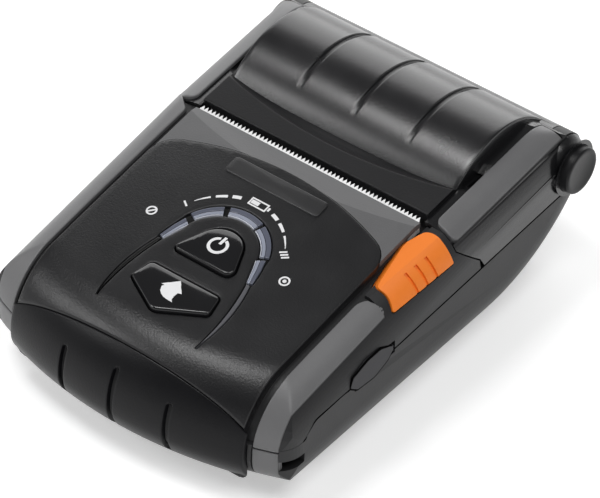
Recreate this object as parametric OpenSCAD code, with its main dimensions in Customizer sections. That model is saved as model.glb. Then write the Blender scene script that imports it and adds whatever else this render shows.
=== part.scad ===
// Portable thermal printer: curved case, battery in the front end, paper lid on rear hinge pins,
// release button on the right shoulder. Millimetres. +X right, -Y battery end, +Z up, table at Z = 0.

/* [Case] */
// Width of the case over its side walls
case_width = 80; // [79:0.5:82]
// Rear face of the side walls
case_rear = 55.5; // [55:0.25:57]
// Wall thickness of the mouldings
wall = 2; // [1.8:0.1:2.2]
// Radius of the upper shoulders
shoulder_r = 10; // [9:0.5:11]
// Radius of the lower side edges
belly_r = 12; // [10:0.5:13]
// Gap between the table and the case floor, bridged by the feet
floor_gap = 0.3; // [0.2:0.1:0.6]

/* [Bowed front] */
// Distance of the bow's upright axis behind the origin
bow_y = 48.8; // [48:0.2:50]
// Radius of the front face at the panel and battery level
bow_r = 105; // [104:0.5:106]
// Height of the panel line above the origin
top_z = 35.6; // [35:0.1:36.5]
// Rise of the top towards the rear, as a ratio
top_slope = 0.167; // [0.15:0.001:0.18]
// Height of the most forward line of the front
nose_z = 12; // [11:0.5:13]
// Radius of the lower front edge
chin_r = 8; // [7:0.5:8.5]
// Angle of the ramp under the front end
ramp_angle = 17; // [14:1:20]
// Step from the panel level down to the case level
case_step = 1.2; // [0.8:0.1:1.4]

/* [Paper drum and lid] */
// Centre of the paper drum, from the origin
drum_y = 36; // [35.5:0.25:36.5]
// Height of the centre of the paper drum
drum_z = 20; // [19.8:0.1:20.4]
// Outer radius of the drum
drum_r = 21.5; // [21.2:0.1:21.8]
// Half width of the dome on the lid
dome_half = 30.1; // [29.9:0.1:30.3]
// Front edge of the lid at the shoulders
lid_front = 10.3; // [10.2:0.1:10.6]
// Rise of the lid towards the rear, as a ratio
lid_slope = 0.10; // [0.09:0.005:0.11]
// Hinge axis, distance behind the origin
hinge_y = 49.1; // [49:0.05:49.3]
// Hinge axis, height
hinge_z = 28.5; // [28.3:0.1:28.7]
// Outer radius of the hinge barrel
barrel_r = 6.8; // [6.6:0.05:6.85]
// Radius of the hinge pins
pin_r = 2; // [1.8:0.1:2.2]
// Reach of the cap on the right-hand hinge pin beyond the side wall
cap_reach = 3; // [2.6:0.1:3.2]

/* [Print mechanism] */
// Platen axis, distance behind the origin
platen_y = 15.2; // [15.1:0.05:15.3]
// Platen axis, height
platen_z = 27.5; // [27.4:0.05:27.6]
// Radius of the rubber roller
platen_r = 4.5; // [4.3:0.05:4.5]
// Half length of the rubber roller
platen_half = 28.9; // [28:0.1:29]
// Teeth along the tear bar
tear_teeth = 58; // [50:2:62]

/* [Battery] */
// Half width of the battery's front piece
battery_end_half = 31.3; // [31:0.1:31.4]
// Face where the battery's front piece meets the panel
battery_seam_y = -49.8; // [-50:0.1:-49.7]
// Half width of the battery pack
pack_half = 27; // [25:0.5:27]
// Underside of the battery pack
pack_low = 6.8; // [6.8:0.1:7.2]
// Top of the battery pack
pack_high = 19.6; // [18:0.1:19.6]

/* [Hidden] */

$fn = 96;
big = 200;
eps = 0.01;
fit_gap = 0.25;
case_half = case_width / 2;
tilt = atan(top_slope);
lid_tilt = atan(lid_slope);
slope_len = sqrt(1 + top_slope * top_slope);
nose_r = (top_z - nose_z - top_slope * (bow_r - bow_y)) / (slope_len - top_slope);
nose_rho = bow_r - nose_r;
chin_z = nose_z - 0.2;
chin_rho = bow_r - chin_r;
front_corner_r = 6.5;
rear_corner_r = 8;
shoulder_z = 33.6;
belly_back_y = 22;
belly_back_r = 48;
seam_slope = 0.045;
seam_z0 = 20.85;
drum_rear = 56.2;
drum_wall = 2;
bay_r = drum_r - drum_wall;
bay_half = 29.4;
seat_r = barrel_r + fit_gap;
lid_edge_z = 35.3;
lid_rear_y = 41.5;
lid_rear_z = 24.6;
lid_rear_r = (lid_edge_z + lid_slope * (lid_rear_y - lid_front) - lid_rear_z) * cos(lid_tilt);
slot_edge = 11.3;
panel_half = 30.4;
panel_thick = 1.5;
panel_bow_r = 80;
panel_bow_y = 3.4 - panel_bow_r;
panel_corner_r = 6.5;
rail_in = 32.25;
rail_out = 37.6;
rail_thick = 0.9;
groove_deep = 1;
rail_end_y = -12.6;
strip_half = panel_half + 0.05;
cheek_wall_x = 37.6;
knuckle_x = 33.8;
tear_y = 9.0;
tear_thick = 0.5;
tear_top = 34.75;
gear_module = 0.5;
platen_teeth = 16;
idler_teeth = 20;
pinion_teeth = 10;
idler_y = platen_y;
idler_z = platen_z - gear_module * (platen_teeth + idler_teeth) / 2;
pinion_angle = 225;
pinion_dist = gear_module * (idler_teeth + pinion_teeth) / 2;
motor_y = idler_y + pinion_dist * cos(pinion_angle);
motor_z = idler_z + pinion_dist * sin(pinion_angle);
gear_x0 = -34.2;
gear_x1 = -32.2;
frame_in = 31;
frame_out = 31.9;
lock_y = 1.5;
lock_z = 17;
head_pivot_y = 9.3;
head_pivot_z = 21.4;
board_z = 21.3;
lights_y = -21.9;
screw_places = [[-33.5, -36.5], [33.5, -36.5], [-22, -4.4], [22, -4.4]];

// Plane helpers. A flat shape drawn in (y, z) or (x, z) is carried along the third axis.
module along_x(x0, x1) { translate([x0, 0, 0]) rotate([90, 0, 90]) linear_extrude(x1 - x0) children(); }
module along_y(y0, y1) { translate([0, y1, 0]) rotate([90, 0, 0]) linear_extrude(y1 - y0) children(); }
module rod_x(x0, x1, y, z, r) { translate([x0, y, z]) rotate([0, 90, 0]) cylinder(h = x1 - x0, r = r); }
module both_sides() { children(); mirror([1, 0, 0]) children(); }
module block(low, high) { translate(low) cube(high - low); }

// Outline helpers. Each corner is [x, y, radius]; grow() moves every edge outwards.
function unit(v) = v / norm(v);
function flat(p) = [p.x, p.y];
function turned(v, a) = [v.x * cos(a) - v.y * sin(a), v.x * sin(a) + v.y * cos(a)];
function corner_arc(a, p, b, r) =
    let (u = unit(a - p), v = unit(b - p), half = acos(u * v) / 2,
         c = p + unit(u + v) * r / sin(half), s = p + u * r / tan(half) - c,
         e = p + v * r / tan(half) - c, way = sign(s.x * e.y - s.y * e.x), steps = 6)
    r <= 0 ? [p] : [for (k = [0:steps]) c + turned(s, way * (180 - 2 * half) * k / steps)];
function rounded(c) = [for (i = [0:len(c) - 1])
    each corner_arc(flat(c[(i + len(c) - 1) % len(c)]), flat(c[i]), flat(c[(i + 1) % len(c)]), c[i][2])];
function arc(c, r, a0, a1, n) = [for (k = [0:n])
    let (a = a0 + (a1 - a0) * k / n) c + r * [cos(a), sin(a)]];
function normal(a, b) = let (d = unit(b - a)) [d.y, -d.x];
function grow(c, d) = [for (i = [0:len(c) - 1])
    let (p = flat(c[i]), n1 = normal(flat(c[(i + len(c) - 1) % len(c)]), p),
         n2 = normal(p, flat(c[(i + 1) % len(c)])), q = p + d * (n1 + n2) / (1 + n1 * n2))
    [q.x, q.y, max(0, c[i][2] + d)]];

// Plate with straight sides and one bowed end towards +y, its corners tangent to both.
module bowed_plate(half, r, centre_y, corner, back) {
    cx = half - corner;
    cy = centre_y + sqrt(pow(r - corner, 2) - cx * cx);
    reach = 1.3;
    intersection() {
        translate([0, centre_y]) circle(r, $fn = 180);
        polygon([[0, centre_y], [cx * reach, centre_y + (cy - centre_y) * reach],
                 [-cx * reach, centre_y + (cy - centre_y) * reach]]);
    }
    for (s = [-1, 1]) translate([s * cx, cy]) circle(corner);
    translate([-half, back]) square([2 * half, cy - back]);
    polygon([[0, centre_y], [cx, cy], [-cx, cy]]);
}

// Case outline seen from above, inset by j.
module plan(j) {
    rear = case_rear - j;
    rx = case_half - rear_corner_r;
    mirror([0, 1]) bowed_plate(case_half - j, bow_r - case_step - j, -bow_y, front_corner_r - j, 0);
    translate([-(case_half - j), -1]) square([2 * (case_half - j), case_rear - rear_corner_r + 1]);
    translate([-rx, 0]) square([2 * rx, rear]);
    for (s = [-1, 1]) translate([s * rx, case_rear - rear_corner_r]) circle(rear_corner_r - j);
}

// Section of the bowed front through its upright axis: top line, nose, chin and ramp, inset by i.
module bow_section(i, low) {
    nose = arc([nose_rho, nose_z], nose_r - i, 90 - tilt, 0, 10);
    chin = arc([chin_rho, chin_z], chin_r - i, 0, ramp_angle - 90, 5);
    foot = chin[len(chin) - 1];
    polygon(concat([[0, low], [0, top_z + top_slope * bow_y - i * slope_len]], nose, chin,
                   [[foot.x - (foot.y - low) / tan(ramp_angle), low]]));
}
module bow_solid(i, low = -3) {
    translate([0, bow_y, 0]) rotate_extrude($fn = 120) bow_section(i, low);
}

// Section with rounded shoulders, open upwards between them, inset by j. Drawn below its top line.
module shoulder_section(j) {
    cx = case_half - shoulder_r;
    deep = 60;
    translate([-cx, -deep]) square([2 * cx, deep + 15]);
    for (s = [-1, 1]) translate([s * cx, -shoulder_r]) circle(shoulder_r - j);
    translate([-(case_half - j), -deep]) square([2 * (case_half - j), deep - shoulder_r]);
}
module shoulders(j) {
    translate([0, 0, shoulder_z]) rotate([tilt, 0, 0]) along_y(-big / 2, big / 2) shoulder_section(j);
}

// Underside with rounded side edges, rising on a long arc at the rear, inset by j.
module belly_section(j, up) {
    cx = case_half - belly_r;
    translate([-cx, floor_gap + j]) square([2 * cx, up]);
    for (s = [-1, 1]) translate([s * cx, floor_gap + belly_r]) circle(belly_r - j);
    translate([-(case_half - j), floor_gap + belly_r]) square([2 * (case_half - j), up - belly_r]);
}
module belly(j) {
    cx = case_half - belly_r;
    along_y(-70, belly_back_y) belly_section(j, 50);
    intersection() {
        translate([0, belly_back_y, floor_gap + belly_back_r]) rotate([0, 90, 0])
            rotate_extrude($fn = 180) {
                translate([0, -cx]) square([belly_back_r - j, 2 * cx]);
                for (s = [-1, 1]) translate([belly_back_r - belly_r, s * cx]) circle(belly_r - j);
                translate([0, -(case_half - j)]) square([belly_back_r - belly_r, 2 * (case_half - j)]);
            }
        block([-big / 2, belly_back_y, -1], [big / 2, 70, floor_gap + belly_back_r]);
    }
}

// Line where the two case halves meet: low at the front corners, then rising to the rear.
function seam_z(y) = seam_z0 + seam_slope * y;
module below_seam(gap = 0) {
    polygon(rounded([[-70, -5, 0], [70, -5, 0], [70, seam_z(70) + gap, 0], [-38.2, seam_z(-38.2) + gap, 3],
                     [-42.6, 16.3 + gap, 3], [-70, 15 + gap, 0]]));
}

// Outer and inner solids of the case halves.
module lower_form(j, lift = 0) {
    intersection() {
        belly(j);
        linear_extrude(60) plan(j);
        bow_solid(case_step + j);
        along_x(-big / 2, big / 2) below_seam(lift);
    }
}
module upper_form(j) {
    intersection() {
        bow_solid(case_step + j);
        shoulders(j);
        linear_extrude(60) plan(j);
    }
}
module drum_profile(r, low, rear) {
    intersection() {
        union() {
            translate([drum_y, drum_z]) circle(r, $fn = 180);
            translate([belly_back_y - 1, low]) square([drum_y - belly_back_y + 1, 14]);
        }
        translate([0, low]) square([rear, 60]);
    }
}

// Side view of the lid: front edge, diagonal down to the seam, rear round and barrel.
lid_low = [18.5, 21.72];
lid_knee = [17, 24.5];
lid_step = [lid_front, 30.5];
module lid_profile(j = 0) {
    r = lid_rear_r - j;
    rear = arc([lid_rear_y, lid_rear_z], r, 90 + lid_tilt, asin((hinge_z - lid_rear_z) / r), 12);
    polygon(concat([lid_step, [lid_front, lid_edge_z - j / cos(lid_tilt)]], rear,
                   [[hinge_y, hinge_z], [hinge_y, seam_z(hinge_y) + 0.1], lid_low, lid_knee]));
}
module lid_shell_form(j) {
    intersection() {
        translate([0, lid_front, lid_edge_z]) rotate([lid_tilt, 0, 0])
            along_y(-30, 70) intersection() {
                shoulder_section(j);
                translate([-50, -60 - j]) square([100, 60]);
            }
        linear_extrude(60) plan(j);
    }
}

// Panel outline and the level of the plate behind it.
module panel_plan(shrink = 0) {
    half = panel_half - shrink;
    back = battery_seam_y - 12;
    centre = [0, panel_bow_y];
    cx = half - panel_corner_r;
    cy = centre.y + sqrt(pow(panel_bow_r - shrink - panel_corner_r, 2) - cx * cx);
    a = atan2(cy - centre.y, cx);
    bow = arc(centre, panel_bow_r - shrink, a, 180 - a, 24);
    polygon(concat([[half, back]], arc([cx, cy], panel_corner_r, 0, a, 6), [for (k = [1:23]) bow[k]],
                   arc([-cx, cy], panel_corner_r, 180 - a, 180, 6), [[-half, back]]));
}
module sunk_level(d) {
    ramp_start = [1.5, 35.75];
    ramp_end = [12, 34.35];
    intersection() {
        bow_solid(0.15 + d);
        along_x(-35, 35) polygon([[-70, 0], [-70, 60], [ramp_start.x - 14, ramp_start.y + 1.87 - d],
                                  [ramp_end.x, ramp_end.y - d], [ramp_end.x, 0]]);
    }
}
module panel_frame() { translate([0, 0, top_z]) rotate([tilt, 0, 0]) children(); }

// Key outlines along the slope, corners as [x, y, radius].
power_key = [[-7.6, -26.4, 1], [7.9, -26.4, 1], [4.7, -16.7, 2.6], [0.2, -15.2, 3.5], [-4.2, -16.7, 2.6]];
feed_key = [[-10.5, -37.3, 0.8], [0, -41.9, 8], [10.5, -37.1, 0.8], [9.4, -30.9, 1.2], [-9.3, -31.1, 1.2]];

// Light track: five bars on an arch, and the legs that run on into the tails.
module sector(a0, a1) { r = 30; translate([0, lights_y])
    polygon([[0, 0], [r * cos(a0), r * sin(a0)], [r * cos((a0 + a1) / 2), r * sin((a0 + a1) / 2)] * 1.1,
             [r * cos(a1), r * sin(a1)]]); }
leg = [[9.0, -19.4], [9.6, -20.6], [11.1, -25.3], [12.9, -24.6], [12.6, -22.6], [11.25, -18.3]];
tail = [[12.9, -25.2], [13.5, -44], [13.2, -44], [11.3, -25.8]];
light_sectors = [[22.5, 66], [70, 112], [118, 153.5]];

// Release button: a slice of the shoulder between two planes along its 45 degree travel.
button_outline = [[4, -9.3, 5], [7.3, -10.6, 0.4], [7.3, 8.3, 0.4], [-1.3, 8.5, 1.6], [-2.1, 3, 7], [1.1, -9.9, 1]];
module button_slot(g, depth = 0) {
    rotate([0, 45, 0]) translate([0, 0, 43.3 - depth]) linear_extrude(20) polygon(rounded(grow(button_outline, g)));
}

// Port cover outline in (y, z).
cover_outline = [[-27, 19.8, 0.6], [-24.6, 17.9, 0.8], [-19, 17.4, 2], [-14.6, 18.9, 0.6], [-13.3, 20.2, 0.3],
                 [-13.3, 21.8, 0.3], [-17, 23.4, 2], [-21.2, 23.3, 2], [-26, 21.9, 0.8]];
cover_axis = [39.6, -13.5];
module cover_pocket() {
    along_x(38.8, 45) polygon(rounded(grow(cover_outline, 0.25)));
    translate([cover_axis.x, cover_axis.y, 19.4]) cylinder(h = 3.2, r = 1.35);
}

// Involute gear outline with backlash; tooth 0 points along +x.
function involute(a) = tan(a) * 180 / PI - a;
function gear_outline(teeth, backlash = 0.16) =
    let (rp = teeth * gear_module / 2, rb = rp * cos(20), ra = rp + 0.85 * gear_module,
         rr = rp - 1.15 * gear_module, r0 = max(rb, rr) + eps,
         half = 90 / teeth - backlash / (2 * rp) * 180 / PI,
         radii = [rr, r0, (2 * r0 + ra) / 3, (r0 + 2 * ra) / 3, ra],
         off = [for (r = radii) half + involute(20) - involute(acos(min(1, rb / max(r, r0))))])
    [for (k = [0:teeth - 1]) each concat(
        [for (m = [0:4]) radii[m] * [cos(360 * k / teeth - off[m]), sin(360 * k / teeth - off[m])]],
        [for (m = [4:-1:0]) radii[m] * [cos(360 * k / teeth + off[m]), sin(360 * k / teeth + off[m])]])];
module gear(teeth, y, z, phase, bore) {
    along_x(gear_x0, gear_x1) translate([y, z]) difference() {
        rotate(phase) polygon(gear_outline(teeth));
        circle(bore);
    }
}

module screw_posts(r) { for (p = screw_places) translate(p) circle(r); }

module bottom_case() {
    lug_low = 14;
    color([0.16, 0.16, 0.17]) difference() {
        union() {
            difference() {
                union() {
                    lower_form(0);
                    intersection() {
                        along_x(-30.9, 30.9) drum_profile(drum_r, floor_gap, drum_rear);
                        union() {
                            along_x(-big / 2, big / 2) below_seam();
                            block([-35, 52, 20], [35, 60, 25.2]);
                        }
                        block([-35, belly_back_y - 1, 0], [35, 60, 40]);
                    }
                }
                lower_form(wall, 1);
                along_x(-bay_half, bay_half) drum_profile(bay_r, floor_gap + 1.6, drum_rear + 5);
                block([-cheek_wall_x, lid_front, 21.3], [cheek_wall_x, 47, 30]);
            }
            // Bulkhead behind the battery's front piece, and the rails the pack slides on
            intersection() {
                block([-36, battery_seam_y + 0.6, 1], [36, battery_seam_y + 2, 30]);
                lower_form(0.4, -0.1);
            }
            intersection() {
                both_sides() {
                    block([19, -47, 1], [20.4, -10, pack_low - 0.2]);
                    block([pack_half + 0.4, -47.5, 1], [pack_half + 1.6, -9, 14]);
                }
                lower_form(0.4, -0.1);
            }
            // Screw posts and the seats of the springs
            intersection() {
                union() {
                    block([-2.2, -17.9, 1], [2.2, -16.4, 6]);
                    translate([0, 0, 0.5]) linear_extrude(30) screw_posts(3.2);
                    translate([35.2, -7.6, 1]) cylinder(h = 10.9, r = 2.2);
                    translate([0, 3, 0.5]) cylinder(h = 5.2, r = 4);
                }
                lower_form(0.4, -0.1);
            }
            // Hinge knuckles
            both_sides() {
                rod_x(knuckle_x + 0.25, cheek_wall_x - 0.25, hinge_y, hinge_z, barrel_r);
                intersection() {
                    block([knuckle_x + 0.25, hinge_y - 5.5, lug_low], [cheek_wall_x - 0.25, hinge_y + 6.4, hinge_z - 4.2]);
                    union() {
                        lower_form(0.4, -0.1);
                        rod_x(knuckle_x, cheek_wall_x, hinge_y, hinge_z, barrel_r);
                    }
                }
            }
        }
        // Seat of the lid's barrel
        along_x(-knuckle_x - 0.05, knuckle_x + 0.05) translate([hinge_y, hinge_z]) circle(seat_r);
        both_sides() {
            along_x(cheek_wall_x - 0.2, 45) translate([hinge_y, hinge_z]) circle(seat_r);
            rod_x(knuckle_x - 1, 45, hinge_y, hinge_z, pin_r);
            // Strap slot and foot recesses
            block([36.5, -47.5, 10.5], [45, -42, 13]);
            for (y = [-27, 30]) translate([23, y, -1]) cylinder(h = 2.1, r = 4.05);
        }
        // Opening for the battery
        battery_mouth();
        block([-pack_half - 0.3, -60, pack_low - 0.2], [pack_half + 0.3, -40, pack_high + 0.3]);
        // Recess for the side rails at the front corners
        difference() {
            both_sides() block([rail_in - 0.05, -60, 0], [rail_out + 0.05, -30, 30]);
            lower_form(rail_thick + 0.02, 1);
            block([-50, -39, 0], [50, 0, 30]);
        }
        cover_pocket();
        socket_mouths();
        // Screw holes with counterbores, clip insert and latch window
        translate([0, 0, -1]) linear_extrude(60) screw_posts(1.3);
        translate([0, 0, -1]) linear_extrude(6.2) screw_posts(2.7);
        translate([0, 3, -1]) cylinder(h = 6, r = 3);
        block([-7.9, -33.5, -1], [7.9, -18.6, floor_gap + wall + 0.1]);
    }
}

module battery_mouth() {
    intersection() {
        block([-battery_end_half - 0.15, -70, 0], [battery_end_half + 0.15, battery_seam_y + 0.15, 40]);
        along_x(-50, 50) polygon([[-70, 5.2], [-46, 5.2], [-46, 40], [-70, 40]]);
    }
}
module socket_mouths() {
    block([30, -25.6, 17.8], [45, -17.9, 21.35]);
    rod_x(30, 45, -15.9, 19.85, 1.55);
}

module top_case() {
    hidden = 0.02;
    color([0.2, 0.2, 0.21]) difference() {
        union() {
            // Bed under the panel, sunk bands for the rails, and the shoulders at full height
            difference() {
                union() {
                    intersection() {
                        bow_solid(panel_thick + 0.05);
                        block([-strip_half, -60, 5], [strip_half, 12, 60]);
                    }
                    intersection() {
                        upper_form(rail_thick + hidden);
                        both_sides() block([strip_half, -60, 5], [rail_out + 0.05, 20, 60]);
                    }
                    intersection() {
                        upper_form(0);
                        union() {
                            both_sides() block([rail_out + 0.05, -60, 5], [50, 20, 60]);
                            block([rail_in + 0.05, rail_end_y + 0.05, 5], [50, 20, 60]);
                        }
                    }
                }
                upper_form(wall);
            }
            intersection() {
                union() {
                    block([-36, battery_seam_y + 0.6, 1], [36, battery_seam_y + 2, 30]);
                    linear_extrude(60) screw_posts(3.2);
                }
                upper_form(wall - 0.8);
            }
        }
        along_x(-50, 50) below_seam(0.1);
        // Rear edge follows the lid's front edge
        along_x(-50, 50) polygon([[lid_front - fit_gap, 60], [lid_front - fit_gap, lid_step.y - 0.1],
            [lid_knee.x - fit_gap, lid_knee.y - 0.25], [lid_low.x - fit_gap, 15], [80, 15], [80, 60]]);
        block([-30.9, 0.5, 12], [30.9, 20, 60]);
        battery_mouth();
        block([-pack_half - 0.3, -60, pack_low - 0.2], [pack_half + 0.3, -40, pack_high + 0.3]);
        // Windows under the keys
        panel_frame() translate([0, 0, -6]) linear_extrude(8) polygon(rounded(grow(power_key, 1.3)));
        panel_frame() translate([0, 0, -6]) linear_extrude(8) polygon(rounded(grow(feed_key, 1.3)));
        button_slot(fit_gap, 2.4);
        cover_pocket();
        socket_mouths();
        translate([0, 0, 10]) linear_extrude(14.5) screw_posts(1.1);
    }
}

module front_panel() {
    color([0.1, 0.1, 0.11]) difference() {
        intersection() {
            difference() {
                bow_solid(0);
                bow_solid(panel_thick);
            }
            translate([0, 0, 10]) linear_extrude(50) panel_plan();
            block([-80, battery_seam_y + 0.2, 0], [80, 20, 60]);
        }
        panel_frame() translate([0, 0, -5]) linear_extrude(10) {
            polygon(rounded(grow(power_key, 0.2)));
            polygon(rounded(grow(feed_key, 0.2)));
        }
        // Seats of the light bars, tails and name plate
        translate([0, 0, 20]) linear_extrude(30) light_shapes(0.06);
        translate([0, 0, 20]) linear_extrude(30) tail_shapes();
    }
}

module ramp_plate() {
    color([0.42, 0.42, 0.43]) difference() {
        sunk_level(0);
        sunk_level(1.3);
        block([-80, -80, -1], [80, -16, 60]);
        block([-80, tear_y - 0.1, -1], [80, 20, 60]);
        both_sides() block([panel_half - 0.25, -80, -1], [80, 80, 60]);
        linear_extrude(60) panel_plan(-0.12);
    }
}

module tear_bar() {
    half = 29.5;
    low = 31.5;
    pitch = 2 * half / tear_teeth;
    deep = 0.8;
    color([0.86, 0.87, 0.88]) {
        along_y(tear_y, tear_y + tear_thick) polygon(concat([[half, low], [-half, low]],
            [for (k = [0:tear_teeth - 1]) each [[-half + k * pitch, tear_top - deep],
                                                [-half + (k + 0.5) * pitch, tear_top]]],
            [[half, tear_top - deep]]));
        block([-half, 5.6, low], [half, tear_y + eps, low + 0.6]);
    }
}

module name_plate() {
    color([0.14, 0.14, 0.15]) intersection() {
        difference() {
            bow_solid(-0.35);
            bow_solid(0);
        }
        translate([0, 0, 20]) linear_extrude(30)
            polygon(rounded([[-12.4, -3.5, 1], [12.4, -3.5, 1], [12.4, 1, 1], [-12.4, 1, 1]]));
    }
}

module case_rails() {
    color([0.45, 0.45, 0.46]) intersection() {
        difference() {
            upper_form(0);
            upper_form(rail_thick);
            along_x(-50, 50) below_seam(0.1);
            block([0, rail_end_y, 10], [50, 20, 60]);
        }
        both_sides() block([rail_in, -60, 10], [rail_out, lid_front - fit_gap, 60]);
    }
}

module corner_rails() {
    color([0.45, 0.45, 0.46]) intersection() {
        difference() {
            lower_form(0);
            lower_form(rail_thick, 1);
        }
        both_sides() block([rail_in, -60, 5.5], [rail_out, -39.05, 30]);
    }
}

module light_shapes(g) {
    for (a = light_sectors) intersection() {
        difference() {
            translate([0, lights_y]) circle(11.9 + g);
            translate([0, lights_y - 0.6]) circle(10 - g);
        }
        sector(a[0] - g * 5, a[1] + g * 5);
    }
    for (m = [0, 1]) mirror([m, 0]) polygon([for (q = grow([for (p = leg) [p.x, p.y, 0]], g)) flat(q)]);
}
module tail_shapes() { for (m = [0, 1]) mirror([m, 0]) polygon(tail); }

module light_pipes() {
    color([0.55, 0.58, 0.66]) intersection() {
        difference() {
            bow_solid(0.05);
            bow_solid(panel_thick);
        }
        translate([0, 0, 20]) linear_extrude(30) light_shapes(0);
    }
}

module light_tails() {
    color([0.35, 0.36, 0.38]) intersection() {
        difference() {
            bow_solid(0.05);
            bow_solid(panel_thick);
        }
        translate([0, 0, 20]) linear_extrude(30) tail_shapes();
    }
}

module key(outline) {
    intersection() {
        bow_solid(-0.35);
        panel_frame() translate([0, 0, -2.5]) linear_extrude(5) polygon(rounded(outline));
    }
    panel_frame() translate([0, 0, -2.9]) linear_extrude(0.8) polygon(rounded(grow(outline, 0.8)));
}
module power_button() { color([0.08, 0.08, 0.09]) key(power_key); }
module feed_button() { color([0.08, 0.08, 0.09]) key(feed_key); }

module key_mat() {
    color([0.3, 0.3, 0.32]) panel_frame() translate([0, 0, -4.3]) linear_extrude(0.8)
        polygon(rounded([[-14.5, -40, 2], [14.5, -40, 2], [14.5, -9, 3], [-14.5, -9, 3]]));
}

module button_board() {
    color([0.1, 0.35, 0.2]) panel_frame() translate([0, 0, -5.2]) linear_extrude(0.8)
        polygon(rounded([[-16, -40, 1], [16, -40, 1], [16, -8, 1], [-16, -8, 1]]));
}

module open_button() {
    color([0.96, 0.5, 0.12]) difference() {
        union() {
            intersection() {
                difference() {
                    upper_form(-0.35);
                    upper_form(1.4);
                }
                button_slot(0);
            }
            block([34, -8.5, 19.9], [36, -6.5, 28.6]);
            intersection() {
                block([33.2, -8.5, 27], [38.2, -6.5, 32]);
                upper_form(0.3);
                button_slot(-0.2);
            }
        }
        // Relief of the inner edge, which passes the blade and the head's bracket
        block([25, 4, 20], [31.05, 12, 40]);
        // Grip steps across the lower half of the shoulder
        for (y = [-3.4, -0.4, 2.6]) difference() {
            rotate([0, 45, 0]) translate([2.4, y, 40]) cube([10, 0.8, 20]);
            upper_form(0.2);
        }
    }
}

module lock_lever() {
    arm = [[-0.5, 14.9, 0.8], [4.2, 16.2, 1.5], [12.2, 26.4, 1], [13.2, 28, 0.4], [13.2, 29, 0.5], [10.4, 29, 1],
           [-0.6, 19.2, 2]];
    color([0.6, 0.6, 0.62]) difference() {
        union() {
            for (x = [-35.8, 33.2]) along_x(x, x + 1) polygon(rounded(arm));
            block([32.9, -9, 17.6], [35.8, 1, 19.5]);
            rod_x(-35.8, -frame_out - 2.6, lock_y, lock_z, 2);
            rod_x(frame_out + 1, 35.8, lock_y, lock_z, 2);
        }
        rod_x(-40, 40, lock_y, lock_z, 1.25);
    }
}

module lock_shaft() {
    color([0.75, 0.76, 0.78]) rod_x(-36.2, 36.2, lock_y, lock_z, 1.2);
}

module lock_spring() {
    color([0.75, 0.76, 0.78]) translate([35.2, -7.6, 11.9]) difference() {
        cylinder(h = 5.7, r = 1.8);
        translate([0, 0, -1]) cylinder(h = 8, r = 1.4);
    }
}

module side_frames() {
    outline = [[-1.5, 9, 1], [6, 3.6, 1], [19, 4.2, 1], [20, 10, 1], [20, 30.5, 1], [11, 30.5, 0.6],
               [10, 29.2, 0.6], [4.4, 29.2, 1], [-1.5, 21, 1]];
    color([0.7, 0.71, 0.73]) both_sides() along_x(frame_in, frame_out) difference() {
        polygon(rounded(outline));
        translate([platen_y, platen_z]) circle(1.85);
        translate([platen_y - 1.85, platen_z]) square([3.7, 5]);
        polygon([[platen_y - 1.85, 29.2], [platen_y + 1.85, 29.2], [platen_y + 3, 31], [platen_y - 3, 31]]);
        translate([lock_y, lock_z]) circle(1.2);
        translate([head_pivot_y, head_pivot_z]) circle(1);
        translate([idler_y, idler_z]) circle(1);
        translate([motor_y, motor_z]) circle(2.2);
        translate([14, 9]) circle(1.5);
    }
}

module head_bracket() {
    color([0.7, 0.71, 0.73]) {
        block([-30.9, 4.7, 19], [30.9, 5.5, 29.4]);
        block([-29.3, 4.7, 29.3], [29.3, 5.5, 31.3]);
        block([-29.3, 4.7, 30.7], [29.3, 8.6, 31.3]);
        both_sides() translate([18, 5.4, 27]) rotate([-90, 0, 0]) cylinder(h = 1, r = 0.9);
    }
}

module print_head() {
    color([0.82, 0.8, 0.75]) difference() {
        union() {
            block([-28, 9.2, 21.8], [28, 10.45, 30.3]);
            both_sides() {
                rod_x(25.5, 27.5, head_pivot_y, head_pivot_z, 1.9);
                block([25.5, 8.4, head_pivot_z], [27.5, 10.4, 24.5]);
            }
        }
        rod_x(-40, 40, head_pivot_y, head_pivot_z, 1.05);
    }
}

module head_shaft() {
    color([0.75, 0.76, 0.78]) rod_x(-frame_out, frame_out, head_pivot_y, head_pivot_z, 1);
}

module head_springs() {
    color([0.75, 0.76, 0.78]) both_sides() translate([18, 5.55, 27]) rotate([-90, 0, 0]) difference() {
        cylinder(h = 3.6, r = 1.6);
        translate([0, 0, -1]) cylinder(h = 8, r = 1.2);
    }
}

module drive_motor() {
    color([0.6, 0.61, 0.62]) {
        rod_x(-frame_in + 0.02, -frame_in + 12.5, motor_y, motor_z, 6);
        rod_x(-frame_out - 0.02, -frame_in + 0.5, motor_y, motor_z, 2.15);
        rod_x(gear_x0 + 0.3, -frame_in + 1, motor_y, motor_z, 0.75);
    }
}

module motor_pinion() { color([0.85, 0.82, 0.7]) gear(pinion_teeth, motor_y, motor_z, 27, 0.8); }
module idler_gear() { color([0.85, 0.82, 0.7]) gear(idler_teeth, idler_y, idler_z, 9, 1.05); }
module platen_gear() { color([0.85, 0.82, 0.7]) gear(platen_teeth, platen_y, platen_z, 0, 1.5); }

module idler_stud() {
    color([0.75, 0.76, 0.78]) {
        rod_x(gear_x0 - 0.2, -frame_in, idler_y, idler_z, 1);
        rod_x(gear_x0 - 0.9, gear_x0 - 0.15, idler_y, idler_z, 1.8);
    }
}

module platen_roller() {
    color([0.12, 0.12, 0.12]) difference() {
        rod_x(-platen_half, platen_half, platen_y, platen_z, platen_r);
        rod_x(-40, 40, platen_y, platen_z, 2.4);
    }
}

module platen_shaft() {
    color([0.78, 0.79, 0.8]) {
        rod_x(-platen_half - 0.2, platen_half + 0.2, platen_y, platen_z, 2.4);
        rod_x(-36.2, 36.2, platen_y, platen_z, 1.5);
    }
}

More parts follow.
